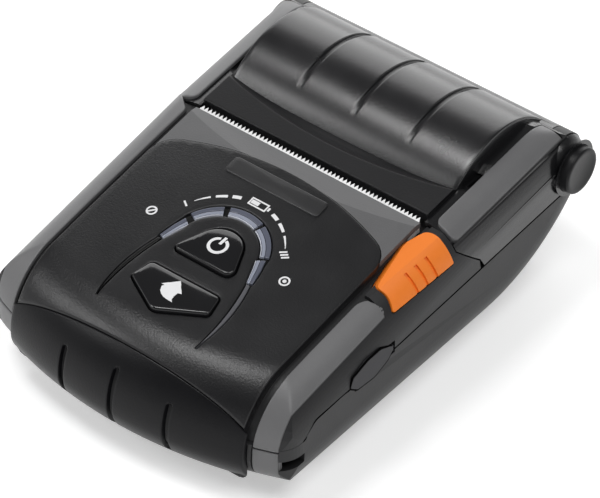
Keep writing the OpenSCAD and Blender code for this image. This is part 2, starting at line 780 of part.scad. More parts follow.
module platen_bearings() {
    color([0.9, 0.9, 0.86]) both_sides() difference() {
        rod_x(29.4, 30.9, platen_y, platen_z, 3);
        rod_x(29, 32, platen_y, platen_z, 1.55);
    }
}

module platen_bracket() {
    color([0.7, 0.71, 0.73]) {
        block([-29.1, 12.2, 32.7], [29.1, 19.6, 33.4]);
        block([-29.1, 19, 31.9], [29.1, 19.6, 33.4]);
    }
}

module lid() {
    color([0.13, 0.13, 0.14]) difference() {
        union() {
            difference() {
                union() {
                    difference() {
                        intersection() {
                            lid_shell_form(0);
                            along_x(-50, 50) lid_profile();
                        }
                        scoop();
                    }
                    intersection() {
                        rod_x(-dome_half, dome_half, drum_y, drum_z, drum_r);
                        block([-40, 18, 33], [40, 60, 60]);
                    }
                }
                // Space inside the lid, open below and to the front
                intersection() {
                    lid_shell_form(wall);
                    along_x(-cheek_wall_x - 0.4, cheek_wall_x + 0.4) union() {
                        lid_profile(wall);
                        polygon([[5, 34], [40, 34], [hinge_y, hinge_z], [hinge_y, 15], [5, 15]]);
                    }
                }
                rod_x(-bay_half, bay_half, drum_y, drum_z, bay_r);
            }
            // Barrel between the knuckles, cheek discs and the walls beside the paper
            intersection() {
                rod_x(-knuckle_x, knuckle_x, hinge_y, hinge_z, barrel_r);
                difference() {
                    block([-40, hinge_y - 3, 20], [40, 60, 40]);
                    rod_x(-bay_half, bay_half, drum_y, drum_z, bay_r);
                }
            }
            rod_x(case_half - 1, case_half + 0.7, hinge_y, hinge_z, barrel_r - 0.15);
            both_sides() {
                rod_x(cheek_wall_x, case_half, hinge_y, hinge_z, barrel_r);
                along_x(29.6, 30.7) intersection() {
                    union() {
                        polygon([[11, 35], [11, 26], [13.5, 23.5], [hinge_y, 23.5], [hinge_y, 34]]);
                        translate([hinge_y, hinge_z]) circle(5);
                    }
                    union() {
                        lid_profile(0.5);
                        translate([10.4, 22]) square([12, 13]);
                    }
                }
            }
        }
        // Room for the case knuckles, pins and roller bearings
        both_sides() {
            rod_x(knuckle_x, cheek_wall_x, hinge_y, hinge_z, seat_r);
            rod_x(knuckle_x - 1, 45, hinge_y, hinge_z, pin_r + 0.06);
            rod_x(case_half, 45, hinge_y, hinge_z, 5.6);
            rod_x(29, 31, platen_y, platen_z, 3);
        }
        block([-dome_half - 0.1, 0, 31], [dome_half + 0.1, slot_edge, 60]);
        // Grooves beside the dome, rail recesses and the three dome grooves
        difference() {
            both_sides() block([dome_half, 0, 25], [rail_in, hinge_y - 1, 60]);
            lid_shell_form(groove_deep);
        }
        difference() {
            both_sides() block([rail_in - 0.05, 0, 25], [rail_out + 0.05, hinge_y - 0.6, 60]);
            lid_rail_core(0.02);
        }
        for (x = [-14.62, 0, 14.62]) intersection() {
            difference() {
                rod_x(x - 0.6, x + 0.6, drum_y, drum_z, drum_r + 1);
                rod_x(x - 1, x + 1, drum_y, drum_z, drum_r - 0.6);
            }
            block([-40, 25, 30], [40, 50.4, 60]);
        }
    }
}
module scoop() {
    boundary_r = 96;
    tube_r = 8;
    reach = 4.5;
    translate([0, 15.8 + boundary_r, 0]) rotate_extrude($fn = 180)
        translate([boundary_r - reach, 35.9 + sqrt(tube_r * tube_r - reach * reach)]) circle(tube_r);
}
module lid_rail_core(extra) {
    intersection() {
        lid_shell_form(rail_thick + extra);
        along_x(-50, 50) union() {
            lid_profile(rail_thick + extra);
            translate([5, 15]) square([40, 18]);
        }
    }
}

module lid_rails() {
    color([0.45, 0.45, 0.46]) difference() {
        intersection() {
            lid_shell_form(0);
            along_x(-50, 50) lid_profile();
            both_sides() block([rail_in, lid_front, 28], [rail_out, hinge_y - 0.65, 60]);
        }
        lid_rail_core(0);
        both_sides() rod_x(knuckle_x, cheek_wall_x + 1, hinge_y, hinge_z, seat_r);
    }
}

module hinge_pins() {
    head_r = 5.4;
    color([0.2, 0.2, 0.21]) {
        rod_x(-case_half, -knuckle_x - 0.3, hinge_y, hinge_z, pin_r);
        rod_x(knuckle_x + 0.3, 42, hinge_y, hinge_z, pin_r);
        translate([case_half + 0.25, hinge_y, hinge_z]) rotate([0, 90, 0]) rotate_extrude()
            polygon([[0, 0], [head_r, 0], [head_r, cap_reach - 1], [head_r - 0.75, cap_reach - 0.25],
                     [0, cap_reach - 0.25]]);
    }
}

module bay_liner() {
    color([0.24, 0.24, 0.25]) intersection() {
        union() {
            difference() {
                rod_x(-30.6, 30.6, drum_y, drum_z, bay_r + 1);
                rod_x(-29.6, 29.6, drum_y, drum_z, bay_r);
                block([-40, 0, 22.8], [40, 60, 60]);
                block([-29.6, drum_y, -5], [29.6, 60, 60]);
            }
            block([-29.9, 11.6, 20.3], [29.9, 16.9, 21.3]);
        }
        union() {
            lower_form(wall + 0.15, 1);
            block([-29.9, 11, 15], [29.9, 17, 22]);
        }
        difference() {
            block([-40, 0, 0], [40, 60, 60]);
            rod_x(-50, 50, hinge_y, hinge_z, seat_r + 0.3);
        }
    }
}

module paper_sensor() { color([0.1, 0.1, 0.1]) block([-3, 12.2, 17.8], [3, 15.4, 20.28]); }

module main_board() {
    color([0.1, 0.35, 0.2]) translate([0, 0, board_z + 0.1]) linear_extrude(1.2) difference() {
        union() {
            translate([-29.4, -41]) square([58.8, 31.5]);
            translate([29, -27.5]) square([7.6, 15]);
        }
        screw_posts(3.5);
    }
}

module data_socket() {
    color([0.75, 0.76, 0.78]) difference() {
        block([30.5, -25.4, 18], [38.2, -18.1, 21.3]);
        block([33, -24.9, 18.5], [40, -18.6, 20.8]);
        block([36, -24.9, 20.3], [40, -18.6, 20.9]);
    }
}

module power_socket() {
    color([0.12, 0.12, 0.12]) difference() {
        rod_x(30.5, 38.2, -15.9, 19.85, 1.5);
        difference() {
            rod_x(32.5, 40, -15.9, 19.85, 1.1);
            rod_x(32, 37.2, -15.9, 19.85, 0.35);
        }
    }
}

module port_cover() {
    color([0.22, 0.22, 0.23]) {
        along_x(39.05, 40.5) polygon(rounded(cover_outline));
        translate([cover_axis.x, cover_axis.y, 20.3]) cylinder(h = 1.4, r = 0.8);
    }
}

module battery_end() {
    color([0.17, 0.17, 0.18]) difference() {
        intersection() {
            bow_solid(0);
            along_y(-70, battery_seam_y) polygon(rounded([[-battery_end_half, 5.35, 2.5], [battery_end_half, 5.35, 2.5],
                [battery_end_half, 40, 0], [-battery_end_half, 40, 0]]));
        }
        // Upright grooves
        for (g = [[0, 5.9, 21.6], [-14, 7.6, 19.8], [14, 7.6, 19.8]]) difference() {
            along_y(-70, -45) {
                for (z = [g[1] + 0.7, g[2] - 0.7]) translate([g[0], z]) circle(0.7);
                translate([g[0] - 0.7, g[1] + 0.7]) square([1.4, g[2] - g[1] - 1.4]);
            }
            bow_solid(1);
        }
    }
}

module battery_pack() {
    color([0.12, 0.12, 0.13]) difference() {
        union() {
            along_y(-47.5, -8) polygon(rounded([[-pack_half, pack_low, 1.5], [pack_half, pack_low, 1.5],
                [pack_half, pack_high, 3.5], [-pack_half, pack_high, 3.5]]));
            block([-pack_half + 4, battery_seam_y, pack_low + 0.5], [pack_half - 4, -47.4, 15.5]);
        }
        block([-6, -29, pack_low - 1], [6, -26, pack_low + 1.5]);
        for (x = [-9:6:9]) block([x - 1.3, -9.2, 10], [x + 1.3, -7, 15]);
    }
}

module battery_terminals() {
    color([0.83, 0.68, 0.35]) for (x = [-9:6:9]) block([x - 1.2, -9.15, 10.1], [x + 1.2, -8.75, 14.9]);
}

module battery_contacts() {
    color([0.83, 0.68, 0.35]) for (x = [-9:6:9]) {
        block([x - 0.7, -8.65, 11.5], [x + 0.7, -7.9, 13.5]);
        block([x - 0.7, -7.9, 3], [x + 0.7, -7.4, 13.5]);
    }
    color([0.1, 0.1, 0.1]) block([-12, -7.42, 2.4], [12, -6.2, 16]);
}

module battery_latch() {
    color([0.3, 0.3, 0.32]) {
        block([-7.6, -33.2, 0.7], [7.6, -22, 2.3]);
        block([-7.6, -33, 2.25], [7.6, -23, 2.5]);
        block([-9.8, -33, 2.45], [9.8, -23, 3.2]);
        block([-4, -28.6, 3.1], [4, -27, pack_low - 0.25]);
        for (y = [-31:1.6:-25]) block([-5, y, 0.45], [5, y + 0.7, 0.75]);
    }
}

module latch_spring() {
    color([0.75, 0.76, 0.78]) translate([0, -22.95, 3.9]) rotate([-90, 0, 0]) difference() {
        cylinder(h = 5, r = 1.3);
        translate([0, 0, -1]) cylinder(h = 8, r = 1);
    }
}

module feet() {
    color([0.1, 0.1, 0.1]) both_sides() for (y = [-27, 30]) translate([23, y, 0]) cylinder(h = 1.1, r = 4);
}

module case_screws() {
    color([0.7, 0.71, 0.73]) {
        for (p = screw_places) translate([p.x, p.y, 3.2]) {
            cylinder(h = 1.95, r = 2.4);
            cylinder(h = 20.8, r = 1.05);
        }
    }
}

module clip_insert() {
    color([0.83, 0.68, 0.35]) translate([0, 3, floor_gap]) difference() {
        cylinder(h = 4.6, r = 3);
        translate([0, 0, -1]) cylinder(h = 4.6, r = 1.65);
    }
}

// The origin is in the middle of the overall width, cap included.
module placed() { translate([-cap_reach / 2, 0, 0]) children(); }

placed() bottom_case();
placed() top_case();
placed() front_panel();
placed() ramp_plate();
placed() tear_bar();
placed() name_plate();
placed() case_rails();
placed() corner_rails();
placed() light_pipes();
placed() light_tails();
placed() power_button();
placed() feed_button();
placed() key_mat();
placed() button_board();
placed() open_button();
placed() lock_lever();
placed() lock_shaft();
placed() lock_spring();
placed() side_frames();
placed() head_bracket();
placed() print_head();
placed() head_shaft();
placed() head_springs();
placed() drive_motor();
placed() motor_pinion();
placed() idler_gear();
placed() idler_stud();
placed() platen_roller();
placed() platen_shaft();
placed() platen_bearings();
placed() platen_gear();
placed() platen_bracket();
placed() lid();
placed() lid_rails();
placed() hinge_pins();
placed() bay_liner();
placed() paper_sensor();
placed() main_board();
placed() data_socket();
placed() power_socket();
placed() port_cover();
placed() battery_end();
placed() battery_pack();
placed() battery_terminals();
placed() battery_contacts();
placed() battery_latch();
placed() latch_spring();
placed() feet();
placed() case_screws();
placed() clip_insert();
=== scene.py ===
"""Looks of the portable thermal printer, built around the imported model.

Metres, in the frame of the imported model: +X towards the release button, -Y towards the
battery end, +Z up. Shapes are worked out in millimetres and scaled once, in Piece.
"""

import logging
import math
from collections.abc import Callable, Sequence
from dataclasses import dataclass
from enum import Enum

import bmesh
import bpy
import numpy as np
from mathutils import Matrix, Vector
from mathutils.geometry import delaunay_2d_cdt


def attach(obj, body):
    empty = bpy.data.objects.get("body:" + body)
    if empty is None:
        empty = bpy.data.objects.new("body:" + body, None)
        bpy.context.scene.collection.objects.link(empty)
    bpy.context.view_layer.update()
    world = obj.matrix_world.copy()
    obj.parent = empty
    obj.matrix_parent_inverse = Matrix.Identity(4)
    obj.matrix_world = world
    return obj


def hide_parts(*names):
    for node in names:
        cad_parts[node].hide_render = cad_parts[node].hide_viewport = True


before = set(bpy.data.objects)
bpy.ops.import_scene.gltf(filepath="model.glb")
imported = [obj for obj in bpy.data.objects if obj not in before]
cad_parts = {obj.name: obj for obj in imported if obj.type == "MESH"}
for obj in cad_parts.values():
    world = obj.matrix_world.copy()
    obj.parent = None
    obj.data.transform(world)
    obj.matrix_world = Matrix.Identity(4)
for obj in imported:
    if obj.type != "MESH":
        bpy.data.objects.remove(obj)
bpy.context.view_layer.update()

LOG = logging.getLogger("printer")
MM = 0.001
Array = np.ndarray
Point2 = tuple[float, float]
Point3 = tuple[float, float, float]
Solid = tuple[Array, list[list[int]]]
Level = Callable[[Array, Array, Array], Array]

# Shader nodes


def fill(tree: bpy.types.NodeTree, node: bpy.types.Node, inputs: dict[int | str, object]) -> None:
    """Links each input to the output given for it, or sets its value.

    Args:
        tree: Tree of the node.
        node: The node.
        inputs: A value, or another node's output, for each input.
    """
    for key, value in inputs.items():
        if isinstance(value, bpy.types.NodeSocket):
            tree.links.new(value, node.inputs[key])
        else:
            node.inputs[key].default_value = value


def add(tree: bpy.types.NodeTree, kind: str, inputs: dict[int | str, object] | None = None,
        **settings: object) -> bpy.types.Node:
    """Adds a shader node.

    Args:
        tree: Tree that the node joins.
        kind: Its type, without the leading ShaderNode.
        inputs: A value, or another node's output, for each input.
        settings: Its own properties.

    Returns:
        The node.
    """
    node = tree.nodes.new("ShaderNode" + kind)
    for name, value in settings.items():
        setattr(node, name, value)
    fill(tree, node, inputs or {})
    return node


# Studio


@dataclass
class Studio:
    """Camera, floor, backdrop and lamps at a plain level."""

    sensor: float = 36.0
    lens: float = 266.28
    camera_at: Point3 = (0.44069, -0.54718, 0.64154)
    azimuth: float = 38.607
    elevation: float = 41.597
    floor_half: float = 3.0
    floor_grey: float = 0.82
    floor_glow: float = 0.42
    horizon_level: float = 0.8
    zenith_level: float = 0.10
    lamps: tuple = (
        ("rear_box", (-0.52, 0.74, 0.40), (0, 0.03, 0.04), (0.9, 0.7), 4.5),
        ("over_box", (-0.31, -0.14, 0.95), (0, -0.03, 0.02), (0.28, 0.28), 2.8),
        ("front_box", (-0.62, -0.50, 0.62), (0, -0.03, 0.02), (0.26, 0.34), 2.0),
        ("fill_box", (0.42, -0.10, 0.95), (0, 0, 0.02), (0.6, 0.6), 4.4),
    )

    def camera(self) -> None:
        """Makes the camera at the photograph's place and angle."""
        data = bpy.data.cameras.new("camera")
        data.sensor_width = self.sensor
        data.lens = self.lens
        data.clip_start, data.clip_end = 0.05, 20.0
        cam = bpy.data.objects.new("camera", data)
        bpy.context.collection.objects.link(cam)
        a, e = math.radians(self.azimuth), math.radians(self.elevation)
        forward = Vector((-math.sin(a) * math.cos(e), math.cos(a) * math.cos(e), -math.sin(e)))
        cam.location = self.camera_at
        cam.rotation_mode = "QUATERNION"
        cam.rotation_quaternion = forward.to_track_quat("-Z", "Y")
        bpy.context.scene.camera = cam

    def floor(self) -> None:
        """Makes the floor, which looks white and keeps the soft shadow under the printer."""
        half = self.floor_half
        mesh = bpy.data.meshes.new("floor")
        mesh.from_pydata([(-half, -half, 0), (half, -half, 0), (half, half, 0), (-half, half, 0)], [],
                         [(0, 1, 2, 3)])
        obj = bpy.data.objects.new("floor", mesh)
        bpy.context.collection.objects.link(obj)
        mat = bpy.data.materials.new("floor_white")
        mat.use_nodes = True
        tree = mat.node_tree
        shader = tree.nodes["Principled BSDF"]
        grey = self.floor_grey
        fill(tree, shader, {"Base Color": (grey, grey, grey, 1), "Roughness": 0.9, "Specular IOR Level": 0.1})
        rays = add(tree, "LightPath").outputs
        seen = rays["Is Camera Ray"]
        for ray in ("Is Transmission Ray", "Is Glossy Ray"):
            seen = add(tree, "Math", {0: seen, 1: rays[ray]}, operation="MAXIMUM").outputs[0]
        glow = add(tree, "Emission", {"Color": (1, 1, 1, 1), "Strength": self.floor_glow})
        black = add(tree, "Emission", {"Strength": 0})
        pick = add(tree, "MixShader", {0: seen, 1: black.outputs[0], 2: glow.outputs[0]})
        total = add(tree, "AddShader", {0: shader.outputs[0], 1: pick.outputs[0]})
        fill(tree, tree.nodes["Material Output"], {"Surface": total.outputs[0]})
        mesh.materials.append(mat)

    def world(self) -> None:
        """Lights from the horizon more than from overhead, and shows plain white behind the printer."""
        world = bpy.data.worlds.new("studio")
        bpy.context.scene.world = world
        world.use_nodes = True
        tree = world.node_tree
        light = tree.nodes["Background"]
        split = add(tree, "SeparateXYZ", {0: add(tree, "TexCoord").outputs["Generated"]})
        fall = add(tree, "MapRange", {"Value": split.outputs["Z"], "From Min": 0.08, "From Max": 0.6,
                                      "To Min": self.horizon_level, "To Max": self.zenith_level},
                   interpolation_type="SMOOTHSTEP")
        fill(tree, light, {"Color": (1, 1, 1, 1), "Strength": fall.outputs[0]})
        white = add(tree, "Background", {"Color": (1, 1, 1, 1), "Strength": 1.0})
        seen = add(tree, "LightPath").outputs["Is Camera Ray"]
        mix = add(tree, "MixShader", {0: seen, 1: light.outputs[0], 2: white.outputs[0]})
        fill(tree, tree.nodes["World Output"], {"Surface": mix.outputs[0]})

    def softbox(self, name: str, at: Point3, look: Point3, size: Point2, power: float) -> None:
        """Makes one rectangular area lamp.

        Args:
            name: Name of the lamp.
            at: Place of its centre.
            look: Point that it faces.
            size: Its width and height.
            power: Its power in watts.
        """
        data = bpy.data.lights.new(name, "AREA")
        data.shape = "RECTANGLE"
        data.size, data.size_y = size
        data.energy = power
        lamp = bpy.data.objects.new(name, data)
        bpy.context.collection.objects.link(lamp)
        lamp.location = at
        lamp.rotation_mode = "QUATERNION"
        lamp.rotation_quaternion = (Vector(look) - Vector(at)).to_track_quat("-Z", "Y")

    def build(self) -> None:
        """Sets up everything around the printer."""
        bpy.context.scene.view_settings.view_transform = "Standard"
        self.camera()
        self.floor()
        self.world()
        for lamp in self.lamps:
            self.softbox(*lamp)


# Finishes


def grain_group() -> bpy.types.NodeTree:
    """Fine moulded grain, built once: noise on Object coordinates drives bump, roughness and tint.

    Returns:
        The node group, with inputs Colour, Scale, Depth, Roughness, Spread and Wear.
    """
    found = bpy.data.node_groups.get("moulded_grain")
    if found:
        return found
    tree = bpy.data.node_groups.new("moulded_grain", "ShaderNodeTree")
    socket = tree.interface.new_socket
    socket("Colour", in_out="INPUT", socket_type="NodeSocketColor")
    for name in ("Scale", "Depth", "Roughness", "Spread", "Wear"):
        socket(name, in_out="INPUT", socket_type="NodeSocketFloat")
    for name, kind in (("Colour", "Color"), ("Roughness", "Float"), ("Normal", "Vector")):
        socket(name, in_out="OUTPUT", socket_type="NodeSocket" + kind)
    given = tree.nodes.new("NodeGroupInput").outputs
    out = tree.nodes.new("NodeGroupOutput")
    place = add(tree, "TexCoord").outputs["Object"]
    fine = add(tree, "TexNoise", {"Vector": place, "Scale": given["Scale"], "Detail": 3.0})
    bump = add(tree, "Bump", {"Distance": 0.0001, "Strength": given["Depth"], "Height": fine.outputs["Fac"]})
    broad = add(tree, "TexNoise", {"Vector": place, "Scale": 90.0, "Detail": 4.0})
    swing = add(tree, "Math", {0: broad.outputs["Fac"], 1: 1.0, 2: -0.5}, operation="MULTIPLY_ADD").outputs[0]
    rough = add(tree, "Math", {0: swing, 1: given["Spread"], 2: given["Roughness"]}, operation="MULTIPLY_ADD")
    tint = add(tree, "Math", {0: swing, 1: given["Wear"], 2: 1.0}, operation="MULTIPLY_ADD")
    scaled = add(tree, "VectorMath", operation="SCALE")
    fill(tree, scaled, {0: given["Colour"], "Scale": tint.outputs[0]})
    fill(tree, out, {"Colour": scaled.outputs[0], "Roughness": rough.outputs[0],
                     "Normal": bump.outputs["Normal"]})
    return tree


@dataclass(frozen=True)
class Finish:
    """A moulded or metal surface with grain, drawn by the shared grain group."""

    name: str
    colour: Point3
    roughness: float
    grain: float = 2600.0
    depth: float = 0.15
    spread: float = 0.12
    wear: float = 0.25
    metallic: float = 0.0
    specular: float = 0.5

    def material(self) -> bpy.types.Material:
        """Builds the material, or returns it if it's there.

        Returns:
            The material, named after the finish.
        """
        found = bpy.data.materials.get(self.name)
        if found:
            return found
        mat = bpy.data.materials.new(self.name)
        mat.use_nodes = True
        tree = mat.node_tree
        group = add(tree, "Group", node_tree=grain_group())
        fill(tree, group, {"Colour": (*self.colour, 1), "Scale": self.grain, "Depth": self.depth,
                           "Roughness": self.roughness, "Spread": self.spread, "Wear": self.wear})
        made = group.outputs
        fill(tree, tree.nodes["Principled BSDF"], {
            "Base Color": made["Colour"], "Roughness": made["Roughness"], "Normal": made["Normal"],
            "Metallic": self.metallic, "Specular IOR Level": self.specular})
        return mat


CASE = Finish("case_plastic", (0.028, 0.028, 0.030), 0.42, grain=2200, depth=0.35)
PANEL = Finish("panel_plastic", (0.008, 0.008, 0.009), 0.32, grain=2300, depth=0.42, specular=0.42)
BATTERY = Finish("battery_plastic", (0.005, 0.005, 0.006), 0.32, grain=2300, depth=0.3, specular=0.18)
RAMP = Finish("ramp_plastic", (0.095, 0.095, 0.098), 0.5, grain=2600, depth=0.3)
RAIL = Finish("rail_plastic", (0.135, 0.135, 0.138), 0.42, grain=2400, depth=0.25)
LID = Finish("lid_plastic", (0.010, 0.010, 0.011), 0.25, grain=2400, depth=0.22, specular=0.62)
LIP = Finish("lip_plastic", (0.007, 0.007, 0.008), 0.42, grain=2100, depth=0.35, specular=0.22)
KEY = Finish("key_gloss", (0.011, 0.011, 0.012), 0.10, depth=0.01, wear=0.05)
ORANGE = Finish("release_orange", (0.97, 0.245, 0.014), 0.34, grain=2600, depth=0.10, wear=0.12)
LIGHT = Finish("light_bar_inner", (0.27, 0.29, 0.355), 0.18, depth=0.04)
TAIL = Finish("light_tail_grey", (0.10, 0.10, 0.11), 0.2, depth=0.04)
MARK = Finish("printed_mark", (0.75, 0.75, 0.76), 0.5, depth=0.05)
BLADE = Finish("blade_steel", (0.86, 0.86, 0.86), 0.45, metallic=0.15, depth=0.05)
STEEL = Finish("plated_steel", (0.55, 0.55, 0.56), 0.32, metallic=1.0, depth=0.1)
SHAFT = Finish("ground_steel", (0.66, 0.66, 0.67), 0.2, metallic=1.0, depth=0.05)
BRASS = Finish("contact_brass", (0.80, 0.58, 0.25), 0.25, metallic=1.0, depth=0.05)
RUBBER = Finish("soft_rubber", (0.022, 0.022, 0.023), 0.75, grain=1800, depth=0.3)
ACETAL = Finish("gear_acetal", (0.62, 0.58, 0.46), 0.4, depth=0.1)
CERAMIC = Finish("head_ceramic", (0.62, 0.60, 0.55), 0.35, depth=0.1)
BOARD = Finish("board_green", (0.012, 0.10, 0.045), 0.35, depth=0.1)
# The light bars' outer halves get a darker copy of their colour as painted shade, and the line along their
# inner edge is a painted highlight.
LIGHT_OUTER_SHADE = Finish("light_bar_outer_shade", (0.10, 0.108, 0.142), 0.16, depth=0.04)
LIGHT_LINE_HIGHLIGHT = Finish("light_bar_highlight_line", (0.60, 0.62, 0.69), 0.25, depth=0.03)
CASE_SIDE = Finish("case_side_plastic", (0.015, 0.015, 0.016), 0.45, grain=2200, depth=0.3, specular=0.34)
COVER = Finish("cover_rubber", (0.034, 0.034, 0.036), 0.55, grain=2200, depth=0.3)
PLATE = Finish("name_plate_plastic", (0.014, 0.014, 0.015), 0.35, grain=2600, depth=0.1)
# Near-black gloss of the track's bed, also laid on the left light tail as painted shade.
BED_AND_TAIL_SHADE = Finish("light_bed_and_tail_shade", (0.003, 0.003, 0.003), 0.25, depth=0.02)
# Near-black matte strips laid in the side seams and round the port cover: painted shade in the gaps.
SEAM_SHADOW = Finish("seam_shadow", (0.002, 0.002, 0.002), 0.9, depth=0.02, specular=0.02)
PIN = Finish("cap_plastic", (0.0088, 0.0088, 0.0096), 0.38, grain=2600, depth=0.2, specular=0.2)

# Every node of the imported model, by the finish that it gets

NODE_FINISH = {
    CASE: "bottom_case top_case bay_liner battery_latch",
    PANEL: "front_panel name_plate",
    RAMP: "ramp_plate",
    BLADE: "tear_bar",
    RAIL: "case_rails corner_rails lid_rails",
    LID: "lid",
    KEY: "power_button feed_button",
    LIGHT: "light_pipes",
    TAIL: "light_tails",
    ORANGE: "open_button",
    STEEL: "side_frames head_bracket platen_bracket lock_lever drive_motor",
    SHAFT: "lock_shaft head_shaft platen_shaft idler_stud lock_spring head_springs latch_spring "
           "case_screws data_socket",
    CERAMIC: "print_head",
    ACETAL: "motor_pinion idler_gear platen_gear platen_bearings",
    RUBBER: "platen_roller key_mat port_cover feet",
    PIN: "hinge_pins paper_sensor power_socket",
    BOARD: "main_board button_board",
    BATTERY: "battery_end battery_pack",
    BRASS: "battery_terminals battery_contacts clip_insert",
}

# Drawing helpers

# Half of the hinge cap's overhang, by which the drawing's middle plane lies beside the model's.
HALF_CAP = 1.5
# The lid's hinge axis and the paper roll's axis, as y and z.
HINGE = (49.1, 28.5)
ROLL = (36.0, 20.0)
# Where a quarter-round edge gets its rows of points, as shares of its radius.
EDGE_STEPS = 1 - np.cos(np.radians([0.0, 22.5, 45.0, 67.5, 90.0]))


def polar(centre: Point2, radius: float, first: float, last: float, count: int) -> Array:
    """Points on an arc: centre plus radius times (cosine, sine) of evenly stepped angles.

    Args:
        centre: Middle of the arc.
        radius: Its radius.
        first: Angle of the first point in degrees.
        last: Angle of the last point in degrees.
        count: Number of steps between them.

    Returns:
        The points, one row each.
    """
    turn = np.radians(np.linspace(first, last, count + 1))
    return np.stack([centre[0] + radius * np.cos(turn), centre[1] + radius * np.sin(turn)], axis=-1)


def rounded(corners: Sequence[Point3], steps: int = 8) -> Array:
    """Outline through the corners, each cut by the arc that is tangent to both its sides.

    Args:
        corners: Corners as x, y and radius, anticlockwise.
        steps: Steps along each arc.

    Returns:
        The outline's points.
    """
    points = []
    count = len(corners)
    for k, (x, y, radius) in enumerate(corners):
        here = np.array((x, y))
        back = np.array(corners[k - 1][:2]) - here
        on = np.array(corners[(k + 1) % count][:2]) - here
        back, on = back / np.linalg.norm(back), on / np.linalg.norm(on)
        if radius <= 0:
            points.append(here[None])
            continue
        half = math.acos(float(np.clip(back @ on, -1, 1))) / 2
        middle = here + (back + on) / np.linalg.norm(back + on) * radius / math.sin(half)
        start = here + back * radius / math.tan(half) - middle
        end = here + on * radius / math.tan(half) - middle
        way = math.copysign(1.0, start[0] * end[1] - start[1] * end[0])
        turn = way * np.linspace(0, math.pi - 2 * half, steps + 1)
        points.append(middle + np.stack([start[0] * np.cos(turn) - start[1] * np.sin(turn),
                                         start[0] * np.sin(turn) + start[1] * np.cos(turn)], axis=-1))
    return np.concatenate(points)


def grow(loop: Array, distance: float) -> Array:
    """Moves every side of an anticlockwise loop outwards and mitres the corners.

    Args:
        loop: The loop's points.
        distance: How far the sides move; negative moves them inwards.

    Returns:
        The moved points.
    """
    side = np.roll(loop, -1, axis=0) - loop
    side = side / np.maximum(np.linalg.norm(side, axis=1, keepdims=True), 1e-9)
    out = np.stack([side[:, 1], -side[:, 0]], axis=-1)
    before = np.roll(out, 1, axis=0)
    open_enough = np.maximum(1 + np.sum(out * before, axis=1, keepdims=True), 0.35)
    return loop + distance * (out + before) / open_enough


def mirrored(loop: Array) -> Array:
    """The loop on the other side of the middle plane, still anticlockwise."""
    return (loop * (-1, 1))[::-1]


def inside(points: Array, loop: Array) -> Array:
    """Even-odd test: a point is inside if a ray to its right crosses the loop an odd number of times.

    Args:
        points: Points to test.
        loop: Closed loop.

    Returns:
        One truth value per point.
    """
    after = np.roll(loop, -1, axis=0)
    x, y = points[:, :1], points[:, 1:]
    spans = (loop[:, 1] > y) != (after[:, 1] > y)
    rise = after[:, 1] - loop[:, 1]
    rise = np.where(np.abs(rise) < 1e-12, 1e-12, rise)
    cross = loop[:, 0] + (y - loop[:, 1]) * (after[:, 0] - loop[:, 0]) / rise
    return np.sum(spans & (x < cross), axis=1) % 2 == 1


def distance_to(points: Array, loops: Sequence[Array]) -> Array:
    """Distance of each point to the nearest side of any of the loops.

    Args:
        points: Points in the plane.
        loops: Closed loops.

    Returns:
        One distance per point.
    """
    best = np.full(len(points), 1e9)
    for loop in loops:
        along = np.roll(loop, -1, axis=0) - loop
        size = np.maximum(np.sum(along * along, axis=1), 1e-12)
        offset = points[:, None, :] - loop
        share = np.clip(np.sum(offset * along, axis=2) / size, 0, 1)
        gap = np.linalg.norm(offset - share[..., None] * along, axis=2)
        best = np.minimum(best, gap.min(axis=1))
    return best


def soft_min(one: Array, other: Array, reach: float) -> Array:
    """The smaller of two heights, with their crossing rounded over a reach.

    Args:
        one: First height.
        other: Second height.
        reach: Height difference over which they blend.

    Returns:
        The blended height, never above the smaller one.
    """
    share = np.clip(0.5 + 0.5 * (other - one) / reach, 0, 1)
    return other * (1 - share) + one * share - reach * share * (1 - share)


def smooth_step(value: Array) -> Array:
    """Smooth rise from 0 to 1."""
    share = np.clip(value, 0, 1)
    return share * share * (3 - 2 * share)


def refined(half: float, count: int, places: Sequence[float], offsets: Sequence[float],
            edge: float) -> Array:
    """Even places from -half to half, with extra ones about the given places and at both edges.

    Args:
        half: Half of the width.
        count: Number of even places.
        places: Where extra places go.
        offsets: Their offsets on one side.
        edge: Radius of the rounded edges.

    Returns:
        The sorted places.
    """
    both = np.concatenate([-np.array(offsets), [0.0], np.array(offsets)])
    near = np.concatenate([place + both for place in places])
    even = np.linspace(-half, half, count)
    even = even[np.min(np.abs(even[:, None] - np.array(places)), axis=1) > max(offsets) + 0.1]
    ends = half - edge * EDGE_STEPS
    return np.unique(np.round(np.concatenate([near, even, ends, -ends]), 5))


def roll_off(distance: Array, radius: float) -> Array:
    """Depth of a quarter-round edge at a distance from the outline.

    Args:
        distance: Distance inwards from the outline.
        radius: Radius of the edge.

    Returns:
        The depth, which is nothing from the radius inwards.
    """
    if radius <= 0:
        return np.zeros_like(distance)
    inner = radius - np.clip(distance, 0, radius)
    return radius - np.sqrt(np.maximum(radius * radius - inner * inner, 0))


# Meshes


